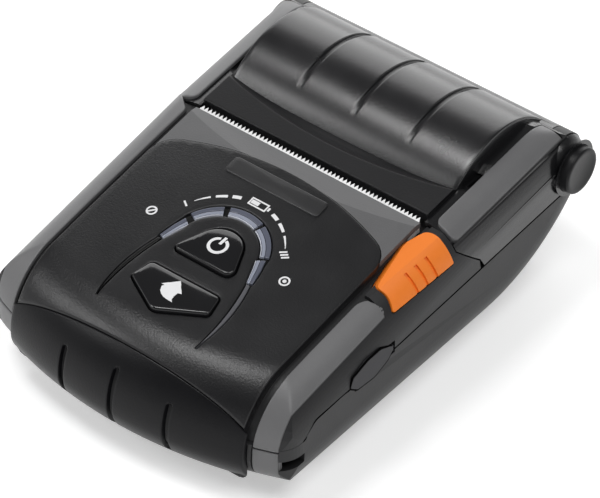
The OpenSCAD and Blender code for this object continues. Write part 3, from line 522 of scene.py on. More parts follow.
@dataclass
class Piece:
    """A finished mesh with its body, slot and finish, and the node that it stands for."""

    name: str
    body: str
    slot: str
    finish: Finish
    sharp: float = 38.0
    node: str = ""

    def build(self, points: Array, faces: list[list[int]]) -> None:
        """Puts points in millimetres into a mesh, closes it, and hands it to the frame.

        Args:
            points: Points in the drawing's own frame.
            faces: Point numbers of each face.
        """
        placed = np.asarray(points, dtype=float) * MM
        placed[:, 0] -= HALF_CAP * MM
        mesh = bpy.data.meshes.new(self.name)
        mesh.from_pydata(placed.tolist(), [], faces)
        work = bmesh.new()
        work.from_mesh(mesh)
        bmesh.ops.remove_doubles(work, verts=work.verts, dist=3e-6)
        bmesh.ops.dissolve_degenerate(work, edges=work.edges, dist=1e-6)
        bmesh.ops.recalc_face_normals(work, faces=work.faces)
        work.to_mesh(mesh)
        work.free()
        self.settle(mesh)

    def settle(self, mesh: bpy.types.Mesh) -> bpy.types.Object:
        """Shades a mesh, gives it its finish and hands it to the frame.

        Args:
            mesh: The mesh, in metres.

        Returns:
            The object.
        """
        mesh.shade_smooth()
        mesh.set_sharp_from_angle(angle=math.radians(self.sharp))
        mesh.materials.clear()
        mesh.materials.append(self.finish.material())
        obj = bpy.data.objects.new(self.name, mesh)
        bpy.context.collection.objects.link(obj)
        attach(obj, self.body)
        if self.node:
            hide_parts(self.node)
        LOG.info("%s rides on %s, %d faces", self.name, self.body, len(mesh.polygons))
        return obj


def grid_quads(rows: int, cols: int, first: int = 0, flip: bool = False) -> Array:
    """Quads of a grid of points numbered row by row.

    Args:
        rows: Number of rows.
        cols: Number of columns.
        first: Number of the first point.
        flip: Whether the quads turn the other way.

    Returns:
        Four point numbers per quad.
    """
    index = first + np.arange(rows * cols).reshape(rows, cols)
    corners = [index[:-1, :-1], index[1:, :-1], index[1:, 1:], index[:-1, 1:]]
    quads = np.stack(corners, axis=-1).reshape(-1, 4)
    return quads[:, ::-1] if flip else quads


def shell(outer: Array, inner: Array) -> Solid:
    """Closed solid between two grids of the same size: both faces and the strip round their rim.

    Args:
        outer: Outer grid of points.
        inner: Inner grid of points.

    Returns:
        The points and the faces.
    """
    rows, cols = outer.shape[:2]
    count = rows * cols
    index = np.arange(count).reshape(rows, cols)
    rim = np.concatenate([index[0, :-1], index[:-1, -1], index[-1, :0:-1], index[:0:-1, 0]])
    after = np.roll(rim, -1)
    strip = np.stack([rim, after, after + count, rim + count], axis=-1)
    faces = np.concatenate([grid_quads(rows, cols), grid_quads(rows, cols, count, True), strip])
    return np.concatenate([outer.reshape(-1, 3), inner.reshape(-1, 3)]), faces.tolist()


def loft(sections: Array) -> Solid:
    """Closed solid through a row of loops of equal count, with a flat face on each end.

    Args:
        sections: Grid of points, one loop per row.

    Returns:
        The points and the faces.
    """
    rows, cols = sections.shape[:2]
    wrapped = np.concatenate([sections, sections[:, :1]], axis=1)
    faces = grid_quads(rows, cols + 1).tolist()
    start = list(range(cols))
    end = [(rows - 1) * (cols + 1) + k for k in range(cols)]
    return wrapped.reshape(-1, 3), faces + [start, end[::-1]]


def revolve(profile: Array, centre: Point2, steps: int = 96) -> Solid:
    """Turns a profile round an axis along x: y and z are centre plus radius times cosine and sine.

    Args:
        profile: Its points as x and radius, with both ends on the axis.
        centre: y and z of the axis.
        steps: Steps of the turn.

    Returns:
        The points and the faces.
    """
    turn = np.linspace(0, 2 * math.pi, steps + 1)
    x = np.broadcast_to(profile[:, :1], (len(profile), steps + 1))
    y = centre[0] + profile[:, 1:] * np.cos(turn)
    z = centre[1] + profile[:, 1:] * np.sin(turn)
    return np.stack([x, y, z], axis=-1).reshape(-1, 3), grid_quads(len(profile), steps + 1).tolist()


def joined(parts: Sequence[Solid]) -> Solid:
    """Several solids as one set of points and faces.

    Args:
        parts: Points and faces of each solid.

    Returns:
        The points and the faces.
    """
    points, faces, first = [], [], 0
    for some_points, some_faces in parts:
        points.append(some_points)
        faces += [[first + k for k in face] for face in some_faces]
        first += len(some_points)
    return np.concatenate(points), faces


def plate(outline: Array, level: Level, top: float, bottom: float, edge: float = 0.25, spacing: float = 1.5,
          holes: Sequence[Array] = (), crown: float = 0.0, crown_reach: float = 2.0) -> Solid:
    """Closed plate on a curved level, with upright walls and quarter-round edges.

    The top's inset is top + roll_off(d, edge) - crown * (1 - exp(-d / crown_reach)), where d is the distance
    to the nearest outline.

    Args:
        outline: Outer loop in x and y, anticlockwise.
        level: Height of the level surface at x, y and an inset below it.
        top: Inset of the top face.
        bottom: Inset of the underside.
        edge: Radius of the rounded edges.
        spacing: Distance between the points inside the outline.
        holes: Loops left open, anticlockwise.
        crown: How far the middle stands above the rim; negative makes a dish.
        crown_reach: Distance over which the crown rises.

    Returns:
        The points and the faces.
    """
    loops = [outline, *holes]
    rings, links, first = [], [], 0
    for k, loop in enumerate(loops):
        for step in EDGE_STEPS if edge > 0 else EDGE_STEPS[:1]:
            ring = grow(loop, (-1 if k == 0 else 1) * edge * step)
            count = len(ring)
            rings.append(ring)
            links += [(first + j, first + (j + 1) % count) for j in range(count)]
            first += count
    low, high = outline.min(axis=0), outline.max(axis=0)
    across = np.arange(low[0] + spacing / 2, high[0], spacing)
    along = np.arange(low[1] + spacing / 2, high[1], spacing)
    grid = np.stack(np.meshgrid(across, along), axis=-1).reshape(-1, 2)
    keep = inside(grid, outline) & (distance_to(grid, loops) > edge + 0.35 * spacing)
    for hole in holes:
        keep &= ~inside(grid, hole)
    flat = np.concatenate([*rings, grid[keep]])
    found = delaunay_2d_cdt([Vector(p) for p in flat.tolist()], links, [], 0, 1e-6)
    spots = np.array([tuple(p) for p in found[0]])
    triangles = np.array(found[2])
    middle = spots[triangles].mean(axis=1)
    used = inside(middle, outline)
    for hole in holes:
        used &= ~inside(middle, hole)
    triangles = triangles[used]
    distance = distance_to(spots, loops)
    bulge = crown * (1 - np.exp(-distance / crown_reach))
    inset = top + roll_off(distance, edge) - bulge
    upper = np.column_stack([spots, level(spots[:, 0], spots[:, 1], inset)])
    lower = np.column_stack([spots, level(spots[:, 0], spots[:, 1], np.full(len(spots), bottom))])
    count = len(spots)
    pairs = np.concatenate([triangles[:, [0, 1]], triangles[:, [1, 2]], triangles[:, [2, 0]]])
    keys = set(map(tuple, pairs.tolist()))
    walls = [[a, b, b + count, a + count] for a, b in keys if (b, a) not in keys]
    faces = triangles.tolist() + (triangles[:, ::-1] + count).tolist() + walls
    return np.concatenate([upper, lower]), faces


# Forms of the case


@dataclass(frozen=True)
class Bow:
    """Bowed front: a section of cone, nose, chin and ramp turned round an upright axis at y = 48.8.

    A point lies at rho = sqrt(x^2 + (48.8 - y)^2) from the axis.
    """

    axis_y: float = 48.8
    top_z: float = 35.6
    slope: float = 0.167
    nose_rho: float = 88.215
    nose_z: float = 12.0
    nose_r: float = 16.785
    chin_rho: float = 97.0
    chin_z: float = 11.8
    chin_r: float = 8.0
    ramp: float = math.radians(17.0)

    def height(self, x: Array, y: Array, inset: Array) -> Array:
        """Height over x and y: a cone inside the nose's start, the nose circle beyond it.

        Args:
            x: Distance from the middle plane.
            y: Distance along the printer.
            inset: Depth below the panel's level, square to it.

        Returns:
            The height.
        """
        rho = np.sqrt(x * x + (self.axis_y - y) ** 2)
        cone = self.top_z + self.slope * (self.axis_y - rho) - inset * math.sqrt(1 + self.slope**2)
        start = self.nose_rho + (self.nose_r - inset) * math.sin(math.atan(self.slope))
        fall = (self.nose_r - inset) ** 2 - (rho - self.nose_rho) ** 2
        return np.where(rho < start, cone, self.nose_z + np.sqrt(np.maximum(fall, 0.0)))

    def point(self, x: Array, s: Array, inset: Array) -> Array:
        """Point at x and arc length s down the front, from where the cone meets the nose.

        The section runs along the cone (s < 0), the nose arc, a short upright, the chin arc and the ramp.

        Args:
            x: Distance from the middle plane.
            s: Arc length of the outer section.
            inset: Depth below the panel's level.

        Returns:
            Points, x, y and z in the last axis.
        """
        tilt = math.atan(self.slope)
        nose_len = self.nose_r * (math.pi / 2 - tilt)
        upright = self.nose_z - self.chin_z
        chin_len = self.chin_r * (math.pi / 2 - self.ramp)
        t1, t2, t3 = nose_len, nose_len + upright, nose_len + upright + chin_len
        on_nose = tilt + np.clip(s, 0, t1) / self.nose_r
        rho = self.nose_rho + (self.nose_r - inset) * np.sin(on_nose) + np.minimum(s, 0) * math.cos(tilt)
        z = self.nose_z + (self.nose_r - inset) * np.cos(on_nose) - np.minimum(s, 0) * math.sin(tilt)
        z = z - np.clip(s - t1, 0, upright)
        on_chin = np.clip(s - t2, 0, chin_len) / self.chin_r
        chin_rho = self.chin_rho + (self.chin_r - inset) * np.cos(on_chin)
        chin_z = self.chin_z - (self.chin_r - inset) * np.sin(on_chin)
        rho = np.where(s > t2, chin_rho, rho)
        z = np.where(s > t2, chin_z, z)
        past = np.maximum(s - t3, 0)
        rho = rho - past * math.cos(self.ramp)
        z = z - past * math.sin(self.ramp)
        return np.stack([x, self.axis_y - np.sqrt(rho * rho - x * x), z], axis=-1)

    def chin_start(self) -> float:
        """Arc length at which the chin begins, below the nose and the short upright."""
        return self.nose_r * (math.pi / 2 - math.atan(self.slope)) + self.nose_z - self.chin_z

    def seam_s(self, x: Array, y: float) -> Array:
        """Arc length at which the outer nose reaches an upright plane at y."""
        rho = np.sqrt(x * x + (self.axis_y - y) ** 2)
        return self.nose_r * (np.arcsin((rho - self.nose_rho) / self.nose_r) - math.atan(self.slope))


BOW = Bow()
# The lid's sloping plane: its rise along y, and one point of it as y and z.
LID_SLOPE = 0.10
LID_FRONT = (10.3, 35.3)


def lid_plane(y: Array) -> Array:
    """Height of the lid's sloping plane at y."""
    return LID_FRONT[1] + LID_SLOPE * (y - LID_FRONT[0])


# Front panel


class BarStrip(Enum):
    """Strips that run along every light bar, each with its low and high share of the bar's width: the outer
    strip carries painted shade and the line at the inner edge a painted highlight.
    """

    OUTER = (0.5, 1.0)
    INNER = (0.13, 0.5)
    LINE = (0.0, 0.13)


@dataclass
class FrontPanel:
    """Satin cover with its two keys, the light arch, the bare name plate and the printed marks."""

    half: float = 30.4
    seam_y: float = -49.6
    bow_r: float = 80.0
    bow_y: float = -76.6
    corner_r: float = 6.5
    thick: float = 1.5
    key_gap: float = 0.3
    key_front: float = 0.72
    key_bend: float = 0.0115
    key_crown: float = 0.14
    key_reach: float = 1.4
    light_y: float = -21.9
    power_key: tuple = ((-7.75, -26.2, 1.0), (8.35, -26.25, 1.7), (0.66, -7.75, 5.4))
    feed_key: tuple = ((-10.0, -36.6, 0.8), (-0.4, -41.6, 2.5), (10.3, -36.2, 0.9), (9.25, -31.15, 1.2),
                       (-8.85, -31.3, 1.3))
    sectors: tuple = ((22.5, 66.0), (70.0, 112.0), (118.0, 153.5))
    leg_inner: tuple = ((8.9, -19.3), (9.8, -21.3), (11.1, -25.0))
    leg_outer: tuple = ((10.75, -18.1), (11.7, -20.9), (12.45, -24.6))
    arch_r: float = 11.9
    dash_r: float = 14.75
    tail_start: float = -25.3
    tail_end: float = -43.9

    def outline(self) -> Array:
        """Panel outline: straight sides, a bowed rear end and tangent corners.

        Returns:
            The outline, anticlockwise from its front right end.
        """
        middle = (0.0, self.bow_y)
        cx = self.half - self.corner_r
        cy = self.bow_y + math.sqrt((self.bow_r - self.corner_r) ** 2 - cx * cx)
        turn = math.degrees(math.atan2(cy - self.bow_y, cx))
        right = polar((cx, cy), self.corner_r, 0, turn, 10)
        rear = polar(middle, self.bow_r, turn, 180 - turn, 30)[1:-1]
        left = polar((-cx, cy), self.corner_r, 180 - turn, 180, 10)
        sides = np.arange(self.seam_y, cy - 1, 2.0)
        up = np.column_stack([np.full(len(sides), self.half), sides])
        front = np.column_stack([np.linspace(-self.half, self.half, 40), np.full(40, self.seam_y)])[1:-1]
        return np.concatenate([up, right, rear, left, mirrored(up), front])

    def key_loops(self) -> list[Array]:
        """Outlines of the power key and of the feed key, with their corners rounded."""
        return [rounded(self.power_key, 12), rounded(self.feed_key, 12)]

    def inner_radius(self, degrees: Array) -> Array:
        """Radius of the arch's inner side, a circle of radius 10 whose centre lies 0.6 nearer the front."""
        turn = np.radians(degrees)
        return -0.6 * np.sin(turn) + np.sqrt(100 - 0.36 * np.cos(turn) ** 2)

    def arch_point(self, degrees: Array, radius: Array) -> Array:
        """Point at an angle and radius about the middle of the light arch."""
        turn = np.radians(degrees)
        return np.stack([radius * np.cos(turn), self.light_y + radius * np.sin(turn)], axis=-1)

    def tail_edges(self, shrink: float) -> tuple[Array, Array]:
        """Outer and inner edges of the right-hand tail: two parabolas in the share of its length.

        Args:
            shrink: How far both edges move towards each other.

        Returns:
            Points of the outer and of the inner edge, from the light bar to the tip.
        """
        share = np.linspace(0, 1, 26)
        y = self.tail_start + share * (self.tail_end - self.tail_start)
        outer = 12.35 + 6.0 * share - 5.1 * share**2
        inner = 11.35 + 5.2 * share - 3.35 * share**2
        middle = (outer + inner) / 2
        half = np.maximum((outer - inner) / 2 - shrink, 0.03)
        return np.column_stack([middle + half, y]), np.column_stack([middle - half, y])

    def track(self, spare: float) -> Array:
        """Outline of the whole track of bars and tails, widened by a gap.

        Args:
            spare: The gap round the bars.

        Returns:
            The outline, anticlockwise from the right-hand tip.
        """
        outer, inner = self.tail_edges(-0.16)
        outer_leg = np.array([(12.62, -24.5), (12.3, -22.2), (11.6, -19.4)])
        inner_leg = np.array([(10.95, -24.9), (9.4, -20.9)])
        turn = np.linspace(16.0, 164.0, 60)
        over = self.arch_point(turn, np.full(60, self.arch_r + spare))
        under = self.arch_point(turn[::-1], self.inner_radius(turn[::-1]) - spare)
        right = np.concatenate([outer[::-1], outer_leg])
        right_inner = np.concatenate([inner_leg[::-1], inner])
        return np.concatenate([right, over[2:-2], mirrored(right), mirrored(right_inner), under[1:-1],
                               right_inner])

    def build_panel(self) -> None:
        """Panel with the windows of the keys and of the track."""
        holes = [*(grow(loop, self.key_gap) for loop in self.key_loops()), self.track(0.18)]
        solid = plate(self.outline(), BOW.height, 0.0, self.thick, 0.3, 1.1, holes)
        Piece("front_panel_skin", "case", "panel_black", PANEL, node="front_panel").build(*solid)

    def build_keys(self) -> None:
        """Two glossy keys with soft rims and crowned tops."""
        for loop, key in zip(self.key_loops(), ("power", "feed")):
            solid = plate(loop, self.key_face, 0.0, 2.7, 0.42, 0.6, crown=self.key_crown,
                          crown_reach=self.key_reach)
            Piece(key + "_key_cap", key + "_key", "key_black", KEY, 50, key + "_button").build(*solid)

    def build_lights(self) -> None:
        """Black bed of the track, five frosted bars with painted shade and highlight, and two dark tails."""
        bed = plate(self.track(0.08), BOW.height, 0.5, 1.5, 0.05, 0.9)
        Piece("light_bed", "case", "key_black", BED_AND_TAIL_SHADE).build(*bed)
        # Every bar is cut into strips: painted shade on the outer half, its own colour, and a painted
        # highlight along the inner edge.
        finishes = {BarStrip.OUTER: LIGHT_OUTER_SHADE, BarStrip.INNER: LIGHT, BarStrip.LINE: LIGHT_LINE_HIGHLIGHT}
        for part, finish in finishes.items():
            solids = [plate(grow(bar, -0.05), BOW.height, 0.0, 1.45, 0.12, 0.42)
                      for bar in self.bar_strips(part)]
            node = "light_pipes" if part is BarStrip.INNER else ""
            Piece("light_bars_" + part.name.lower(), "case", "light_clear", finish, 60,
                  node).build(*joined(solids))
        outer, inner = self.tail_edges(0.1)
        tail = np.concatenate([outer[::-1], inner])
        right = plate(tail, BOW.height, 0.0, 1.45, 0.1, 0.5)
        # The mirrored left tail gets the bed's near-black in place of the tail grey: painted shade.
        left = plate(mirrored(tail), BOW.height, 0.05, 1.45, 0.1, 0.5)
        Piece("light_tail_right", "case", "tail_grey", TAIL, 60, "light_tails").build(*right)
        Piece("light_tail_left_shaded", "case", "tail_grey", BED_AND_TAIL_SHADE, 60).build(*left)

    def bar_strips(self, part: BarStrip) -> list[Array]:
        """Outlines of one of the three strips that run along every light bar.

        Args:
            part: Which strip.

        Returns:
            One outline per bar.
        """
        low, high = part.value
        strips = []
        for first, last in self.sectors:
            turn = np.linspace(first, last, 22)
            inner = self.inner_radius(turn)
            far = self.arch_point(turn, inner + high * (self.arch_r - inner))
            near = self.arch_point(turn, inner + low * (self.arch_r - inner))
            strips.append(np.concatenate([far, near[::-1]]))
        inner, outer = np.array(self.leg_inner), np.array(self.leg_outer)
        far = inner + high * (outer - inner)
        near = inner + low * (outer - inner)
        leg = np.concatenate([near, far[::-1]])
        return strips + [leg, mirrored(leg)]

    def build_name_plate(self) -> None:
        """Small raised plate behind the panel's marks, left bare."""
        outline = rounded([(-12.4, -3.5, 0.9), (12.4, -3.5, 0.9), (12.4, 0.9, 0.9), (-12.4, 0.9, 0.9)])
        solid = plate(outline, BOW.height, -0.35, 0.1, 0.22, 0.9)
        Piece("name_plate_bare", "case", "panel_black", PLATE, node="name_plate").build(*solid)

    def dash(self, first: float, last: float, start_width: float, end_width: float) -> Array:
        """Outline of one printed dash on a circle about the arch, tapering along its length.

        Args:
            first: Angle of its start in degrees.
            last: Angle of its end in degrees.
            start_width: Width at the start.
            end_width: Width at the end.

        Returns:
            The outline.
        """
        turn = np.linspace(first, last, 10)
        half = np.linspace(start_width, end_width, 10) / 2
        outer = self.arch_point(turn, self.dash_r + half)
        inner = self.arch_point(turn[::-1], self.dash_r - half[::-1])
        return np.concatenate([outer, inner])

    def ring(self, centre: Point2, radius: float, stroke: float, first: float = 0,
             last: float = 360) -> Array:
        """Outline of an arc with a stroke width.

        Args:
            centre: Middle of the arc.
            radius: Radius of its outer side.
            stroke: Its width.
            first: Angle of its start in degrees.
            last: Angle of its end in degrees.

        Returns:
            The outline.
        """
        outer = polar(centre, radius, first, last, 40)
        inner = polar(centre, radius - stroke, last, first, 40)
        return np.concatenate([outer, inner])

    def bar(self, at: Point2, size: Point2, degrees: float = 0) -> Array:
        """Outline of a small turned rectangle.

        Args:
            at: Its middle.
            size: Its width and height.
            degrees: Clockwise turn.

        Returns:
            The outline.
        """
        w, h = size[0] / 2, size[1] / 2
        turn = math.radians(degrees)
        corners = np.array([(-w, -h), (w, -h), (w, h), (-w, h)])
        spin = np.array([(math.cos(turn), math.sin(turn)), (-math.sin(turn), math.cos(turn))])
        return corners @ spin + np.array(at)

    def build_marks(self) -> None:
        """White print on the panel: tapering dashes, plain level bars, a cell sign and two simple dots."""
        dashes = [(132.0, 145.5, 0.5, 0.14), (118.0, 127.8, 0.72, 0.6), (106.4, 114.0, 0.85, 0.85)]
        shapes = [self.dash(a, b, wa, wb) for a, b, wa, wb in dashes]
        shapes += [self.dash(180 - b, 180 - a, wb, wa) for a, b, wa, wb in dashes]
        shapes.append(self.bar((-13.3, -15.1), (0.42, 1.7), 55))
        for k in (-0.75, 0.0, 0.75):
            shapes.append(self.bar((13.0 + 0.8 * k, -14.9 - 0.62 * k), (0.42, 1.7), -52))
        shapes += [self.bar((-0.85, -7.2), (2.0, 1.0)), self.bar((2.72, -7.2), (0.5, 0.95))]
        shapes += [self.ring((-18.2, -20.3), 1.25, 0.4), self.bar((-18.2, -20.3), (1.9, 0.4), 45)]
        shapes += [self.ring((17.4, -20.3), 1.25, 0.4), polar((17.4, -20.3), 0.45, 0, 330, 11)]
        solids = [plate(shape, BOW.height, -0.03, 0.05, 0.0, 1.2) for shape in shapes]
        cell = self.bar((0.0, -7.2), (4.6, 2.1))
        solids.append(plate(cell, BOW.height, -0.03, 0.05, 0.0, 1.2, [grow(cell, -0.36)]))
        Piece("panel_marks", "case", "light_clear", MARK, 60).build(*joined(solids))

    def build_symbols(self) -> None:
        """Power sign and feed arrow on the crowned tops of their keys."""
        power = [self.ring((0.4, -21.1), 2.34, 0.7, 110, 430), self.bar((0.5, -19.5), (0.68, 2.3))]
        arrow = np.array([(-2.95, -35.35), (-2.12, -35.35), (-2.45, -35.95), (-1.95, -36.95), (-1.16, -37.6),
                          (-0.4, -37.95), (0.48, -38.1), (2.18, -38.15), (1.62, -37.6), (1.5, -36.7),
                          (1.63, -35.6), (2.45, -35.35), (-0.1, -32.5)])
        for key, shapes in (("power", power), ("feed", [arrow])):
            solids = [plate(shape, self.key_level, -0.03, 0.08, 0.0, 0.6) for shape in shapes]
            Piece(key + "_symbol", key + "_key", "light_clear", MARK, 60).build(*joined(solids))

    def key_face(self, x: Array, y: Array, inset: Array) -> Array:
        """Height of a key's face, which stands proud at the front and bends down towards its rear edge.

        Args:
            x: Distance from the middle plane.
            y: Distance along the printer.
            inset: Depth below the face.

        Returns:
            The height.
        """
        start = np.where(y > -29.0, -23.6, -37.8)
        lift = self.key_front - self.key_bend * np.maximum(y - start, 0) ** 2
        return BOW.height(x, y, inset - lift)

    def key_level(self, x: Array, y: Array, inset: Array) -> Array:
        """Height of the keys' crowned tops.

        Args:
            x: Distance from the middle plane.
            y: Distance along the printer.
            inset: Depth below the tops.

        Returns:
            The height.
        """
        spots = np.column_stack([x, y])
        crown = self.key_crown * (1 - np.exp(-distance_to(spots, self.key_loops()) / self.key_reach))
        return self.key_face(x, y, inset - crown)

    def build(self) -> None:
        """Builds every piece of the panel."""
        self.build_panel()
        self.build_keys()
        self.build_lights()
        self.build_name_plate()
        self.build_marks()
        self.build_symbols()


# Battery end


@dataclass
class BatteryEnd:
    """Rounded front piece of the battery, with three upright grooves."""

    half: float = 31.3
    seam_y: float = -49.8
    low_z: float = 5.35
    corner_r: float = 2.5
    edge: float = 0.35
    groove_half: float = 0.62
    groove_soft: float = 0.44
    groove_deep: float = 0.9
    rim: float = 0.02
    grooves: tuple = ((0.0, 6.6, 20.9), (-14.0, 8.3, 19.1), (14.0, 8.3, 19.1))

    def build(self) -> None:
        """Outer grid over x and arc length, closed by the flat rear face.

        The inset is a quarter-round at the rim plus a groove whose depth falls smoothly with the distance to
        its centre line.
        """
        places = [groove[0] for groove in self.grooves]
        x = refined(self.half, 56, places, (0.3, 0.46, 0.62, 0.78, 0.95, 1.2), self.edge)
        rows = np.concatenate([self.rim * EDGE_STEPS, np.linspace(0.03, 0.97, 70),
                               1 - self.rim * EDGE_STEPS[::-1]])
        rows = np.unique(np.round(rows, 6))
        low = self.low_z + self.corner_r - np.sqrt(
            np.maximum(self.corner_r**2 - np.maximum(np.abs(x) - (self.half - self.corner_r), 0) ** 2, 0))
        start = BOW.seam_s(x, self.seam_y)
        end = BOW.chin_start() + BOW.chin_r * np.arcsin((BOW.chin_z - low) / BOW.chin_r)
        s = start + rows[:, None] * (end - start)
        across = np.broadcast_to(x, s.shape)
        plain = BOW.point(across, s, np.zeros_like(s))
        inset = roll_off(self.half - np.abs(across), self.edge)
        inset = np.maximum(inset, roll_off(s - start, self.edge))
        inset = np.maximum(inset, roll_off(end - s, self.edge))
        for gx, z0, z1 in self.grooves:
            gap = np.hypot(across - gx, np.maximum(np.maximum(z0 - plain[..., 2], plain[..., 2] - z1), 0))
            share = smooth_step((self.groove_half + self.groove_soft / 2 - gap) / self.groove_soft)
            inset = np.maximum(inset, self.groove_deep * share)
        outer = BOW.point(across, s, inset)
        outer[..., 1] = np.minimum(outer[..., 1], self.seam_y)
        inner = outer.copy()
        inner[..., 1] = self.seam_y
        Piece("battery_end_skin", "battery", "battery_black", BATTERY, 40,
              "battery_end").build(*shell(outer, inner))


# Side rails


@dataclass
class Rails:
    """Grey strips on both shoulders, on the case, under its side seam and on the lid."""

    inner_x: float = 32.25
    outer_x: float = 37.6
    thick: float = 0.88
    edge: float = 0.32
    left_more: float = 0.9
    blend: float = 0.9
    lid_blend: float = 1.7
    step: float = 1.2
    shoulder_r: float = 10.0
    shoulder_z: float = 33.6
    end_r: float = 1.9
    shoulder_x: float = 30.0
    corner_x: float = 33.5
    corner_r: float = 6.5
    left_proud: float = 0.04
    lid_rear: Point2 = (41.5, 24.6)
    seam_z: float = 15.4
    seam_gap: float = 0.3
    low_z: float = 5.6

    def across(self) -> Array:
        """Places over the strip's width, denser at the edges.

        Returns:
            The places, from -1 to 1.
        """
        half = (self.outer_x - self.inner_x) / 2
        edge = self.edge * EDGE_STEPS / half
        return np.unique(np.round(np.concatenate([-1 + edge, np.linspace(-0.8, 0.8, 11), 1 - edge]), 5))

    def plan_front(self, x: Array, depth: Array) -> Array:
        """Front limit of the case outline: the bow, and past its corner's tangent the corner circle.

        Args:
            x: Distance from the middle plane.
            depth: Depth below the case surface.

        Returns:
            The limit of y.
        """
        r = BOW.chin_rho + BOW.chin_r - self.step
        corner, cx = self.corner_r, self.corner_x
        cy = BOW.axis_y - math.sqrt((r - corner) ** 2 - cx * cx)
        on_bow = BOW.axis_y - np.sqrt((r - depth) ** 2 - x * x)
        on_corner = cy - np.sqrt(np.maximum((corner - depth) ** 2 - np.maximum(np.abs(x) - cx, 0) ** 2, 0))
        return np.where(np.abs(x) > cx * r / (r - corner), on_corner, on_bow)

    def shoulder_drop(self, x: Array, depth: Array) -> Array:
        """Fall of the shoulder circle from its top.

        Args:
            x: Distance from the middle plane.
            depth: How far the circle is sunk.

        Returns:
            The fall.
        """
        r = self.shoulder_r - depth
        side = np.clip(np.abs(x) - self.shoulder_x, 0, r)
        return self.shoulder_r - np.sqrt(np.maximum(r * r - side * side, 0))

    def case_point(self, x: Array, s: Array, depth: Array) -> Array:
        """Point of the case surface: the bow one step down, cut by the shoulder and by the plan's corner.

        Args:
            x: Distance from the middle plane.
            s: Arc length down the front.
            depth: Depth below the surface.

        Returns:
            The points.
        """
        p = BOW.point(x, s, self.step + depth)
        y, z = p[..., 1], p[..., 2]
        drop = self.shoulder_drop(x, depth) * math.sqrt(1 + BOW.slope**2)
        shoulder = self.shoulder_z + BOW.slope * y - drop
        p[..., 2] = np.minimum(z, shoulder)
        p[..., 1] = -soft_min(-y, -self.plan_front(x, depth), self.blend)
        return p

    def strip(self, point: Level, path: Array, side: int, ends: Point2, more: float = 0.0) -> Solid:
        """One strip: a grid of width by path, rolled off at every edge, over the same grid sunk.

        Args:
            point: Surface point at x, path place and depth.
            path: Places along the path.
            side: 1 for the right, -1 for the left.
            ends: Radius of the corners at the start and at the end of the path.
            more: Extra width towards the side wall.

        Returns:
            The points and the faces.
        """
        half = (self.outer_x + more - self.inner_x) / 2
        middle = (self.outer_x + more + self.inner_x) / 2
        from_start, from_end = path - path[0], path[-1] - path
        width = np.full(len(path), half)
        for run, r in ((from_start, ends[0]), (from_end, ends[1])):
            if r > 0:
                near = np.clip(r - run, 0, r)
                width = np.minimum(width, half - r + np.sqrt(r * r - near * near))
        u = self.across()
        x = middle + u * width[:, None]
        s = np.broadcast_to(path[:, None], x.shape)
        edge = np.minimum((1 - np.abs(u)) * width[:, None], np.minimum(from_start, from_end)[:, None])
        outer = point(side * x, s, roll_off(edge, self.edge) - (self.left_proud if side < 0 else 0.0))
        inner = point(side * x, s, np.full_like(x, self.thick))
        return shell(outer, inner)

    def path(self, start: float, end: float, radius: float) -> Array:
        """Places along a strip, denser near both ends.

        Args:
            start: First place.
            end: Last place.
            radius: Radius of the strip's rounded corners.

        Returns:
            The sorted places.
        """
        fine = radius * (1 - np.cos(np.linspace(0, math.pi / 2, 9))) if radius > 0 else np.array([0.0])
        edge = self.edge * EDGE_STEPS
        body = np.linspace(start + max(radius, 0.6), end - max(radius, 0.6), 90)
        parts = [start + fine, start + edge, body, end - edge, end - fine]
        return np.unique(np.round(np.concatenate(parts), 5))

    def lid_point(self, x: Array, y: Array, depth: Array) -> Array:
        """Point of the lid's shoulder: the lid's plane and rear round, cut by the shoulder circle.

        Args:
            x: Distance from the middle plane.
            y: Distance along the printer.
            depth: Depth below the surface.

        Returns:
            The points.
        """
        rear_y, rear_z = self.lid_rear
        tall = math.sqrt(1 + LID_SLOPE * LID_SLOPE)
        rear_r = (lid_plane(rear_y) - rear_z) / tall - depth
        tangent = rear_y - rear_r * math.sin(math.atan(LID_SLOPE))
        rear = rear_z + np.sqrt(np.maximum(rear_r**2 - (y - rear_y) ** 2, 0))
        profile = np.where(y > tangent, rear, lid_plane(y) - depth * tall)
        shoulder = lid_plane(y) - self.shoulder_drop(x, depth) * tall
        return np.stack([x, y, soft_min(shoulder, profile, self.lid_blend)], axis=-1)

    def path_at(self, y: float) -> float:
        """Arc length of the strip's middle line where it passes y on the sloping top.

        Args:
            y: Distance along the printer.

        Returns:
            The arc length, less than nothing behind the nose.
        """
        rho = math.hypot((self.inner_x + self.outer_x) / 2, BOW.axis_y - y)
        start = BOW.nose_rho + BOW.nose_r * math.sin(math.atan(BOW.slope))
        return (rho - start) * math.sqrt(1 + BOW.slope**2)

    def path_down(self, z: float) -> float:
        """Arc length at which the front, one step down, falls to a height on the nose."""
        return BOW.nose_r * (math.acos((z - BOW.nose_z) / (BOW.nose_r - self.step)) - math.atan(BOW.slope))

    def build(self) -> None:
        """Builds the strips of the case, of the lower corners and of the lid."""
        end = self.path_down(self.seam_z)
        on_chin = math.asin((BOW.chin_z - self.low_z) / (BOW.chin_r - self.step))
        low_end = BOW.chin_start() + BOW.chin_r * on_chin
        right = self.path(self.path_at(-12.7), end, self.end_r)
        left = self.path(self.path_at(9.9), end, 0.0)
        low = self.path(self.path_down(self.seam_z - self.seam_gap), low_end, 0.0)
        lid = self.path(10.9, 48.4, self.end_r)
        turned = (self.end_r, 0.0)
        for name, body, point, paths, ends in (
                ("case_rail", "case", self.case_point, (right, left), (turned, (0.6, 0.0))),
                ("corner_rail", "case", self.case_point, (low, low), ((0.0, 1.2), (0.0, 1.2))),
                ("lid_rail", "lid", self.lid_point, (lid, lid), (turned, turned))):
            solids = [self.strip(point, paths[0], 1, ends[0]),
                      self.strip(point, paths[1], -1, ends[1], self.left_more)]
            Piece(name + "_strips", body, "rail_grey", RAIL, node=name + "s").build(*joined(solids))


# Lid skins


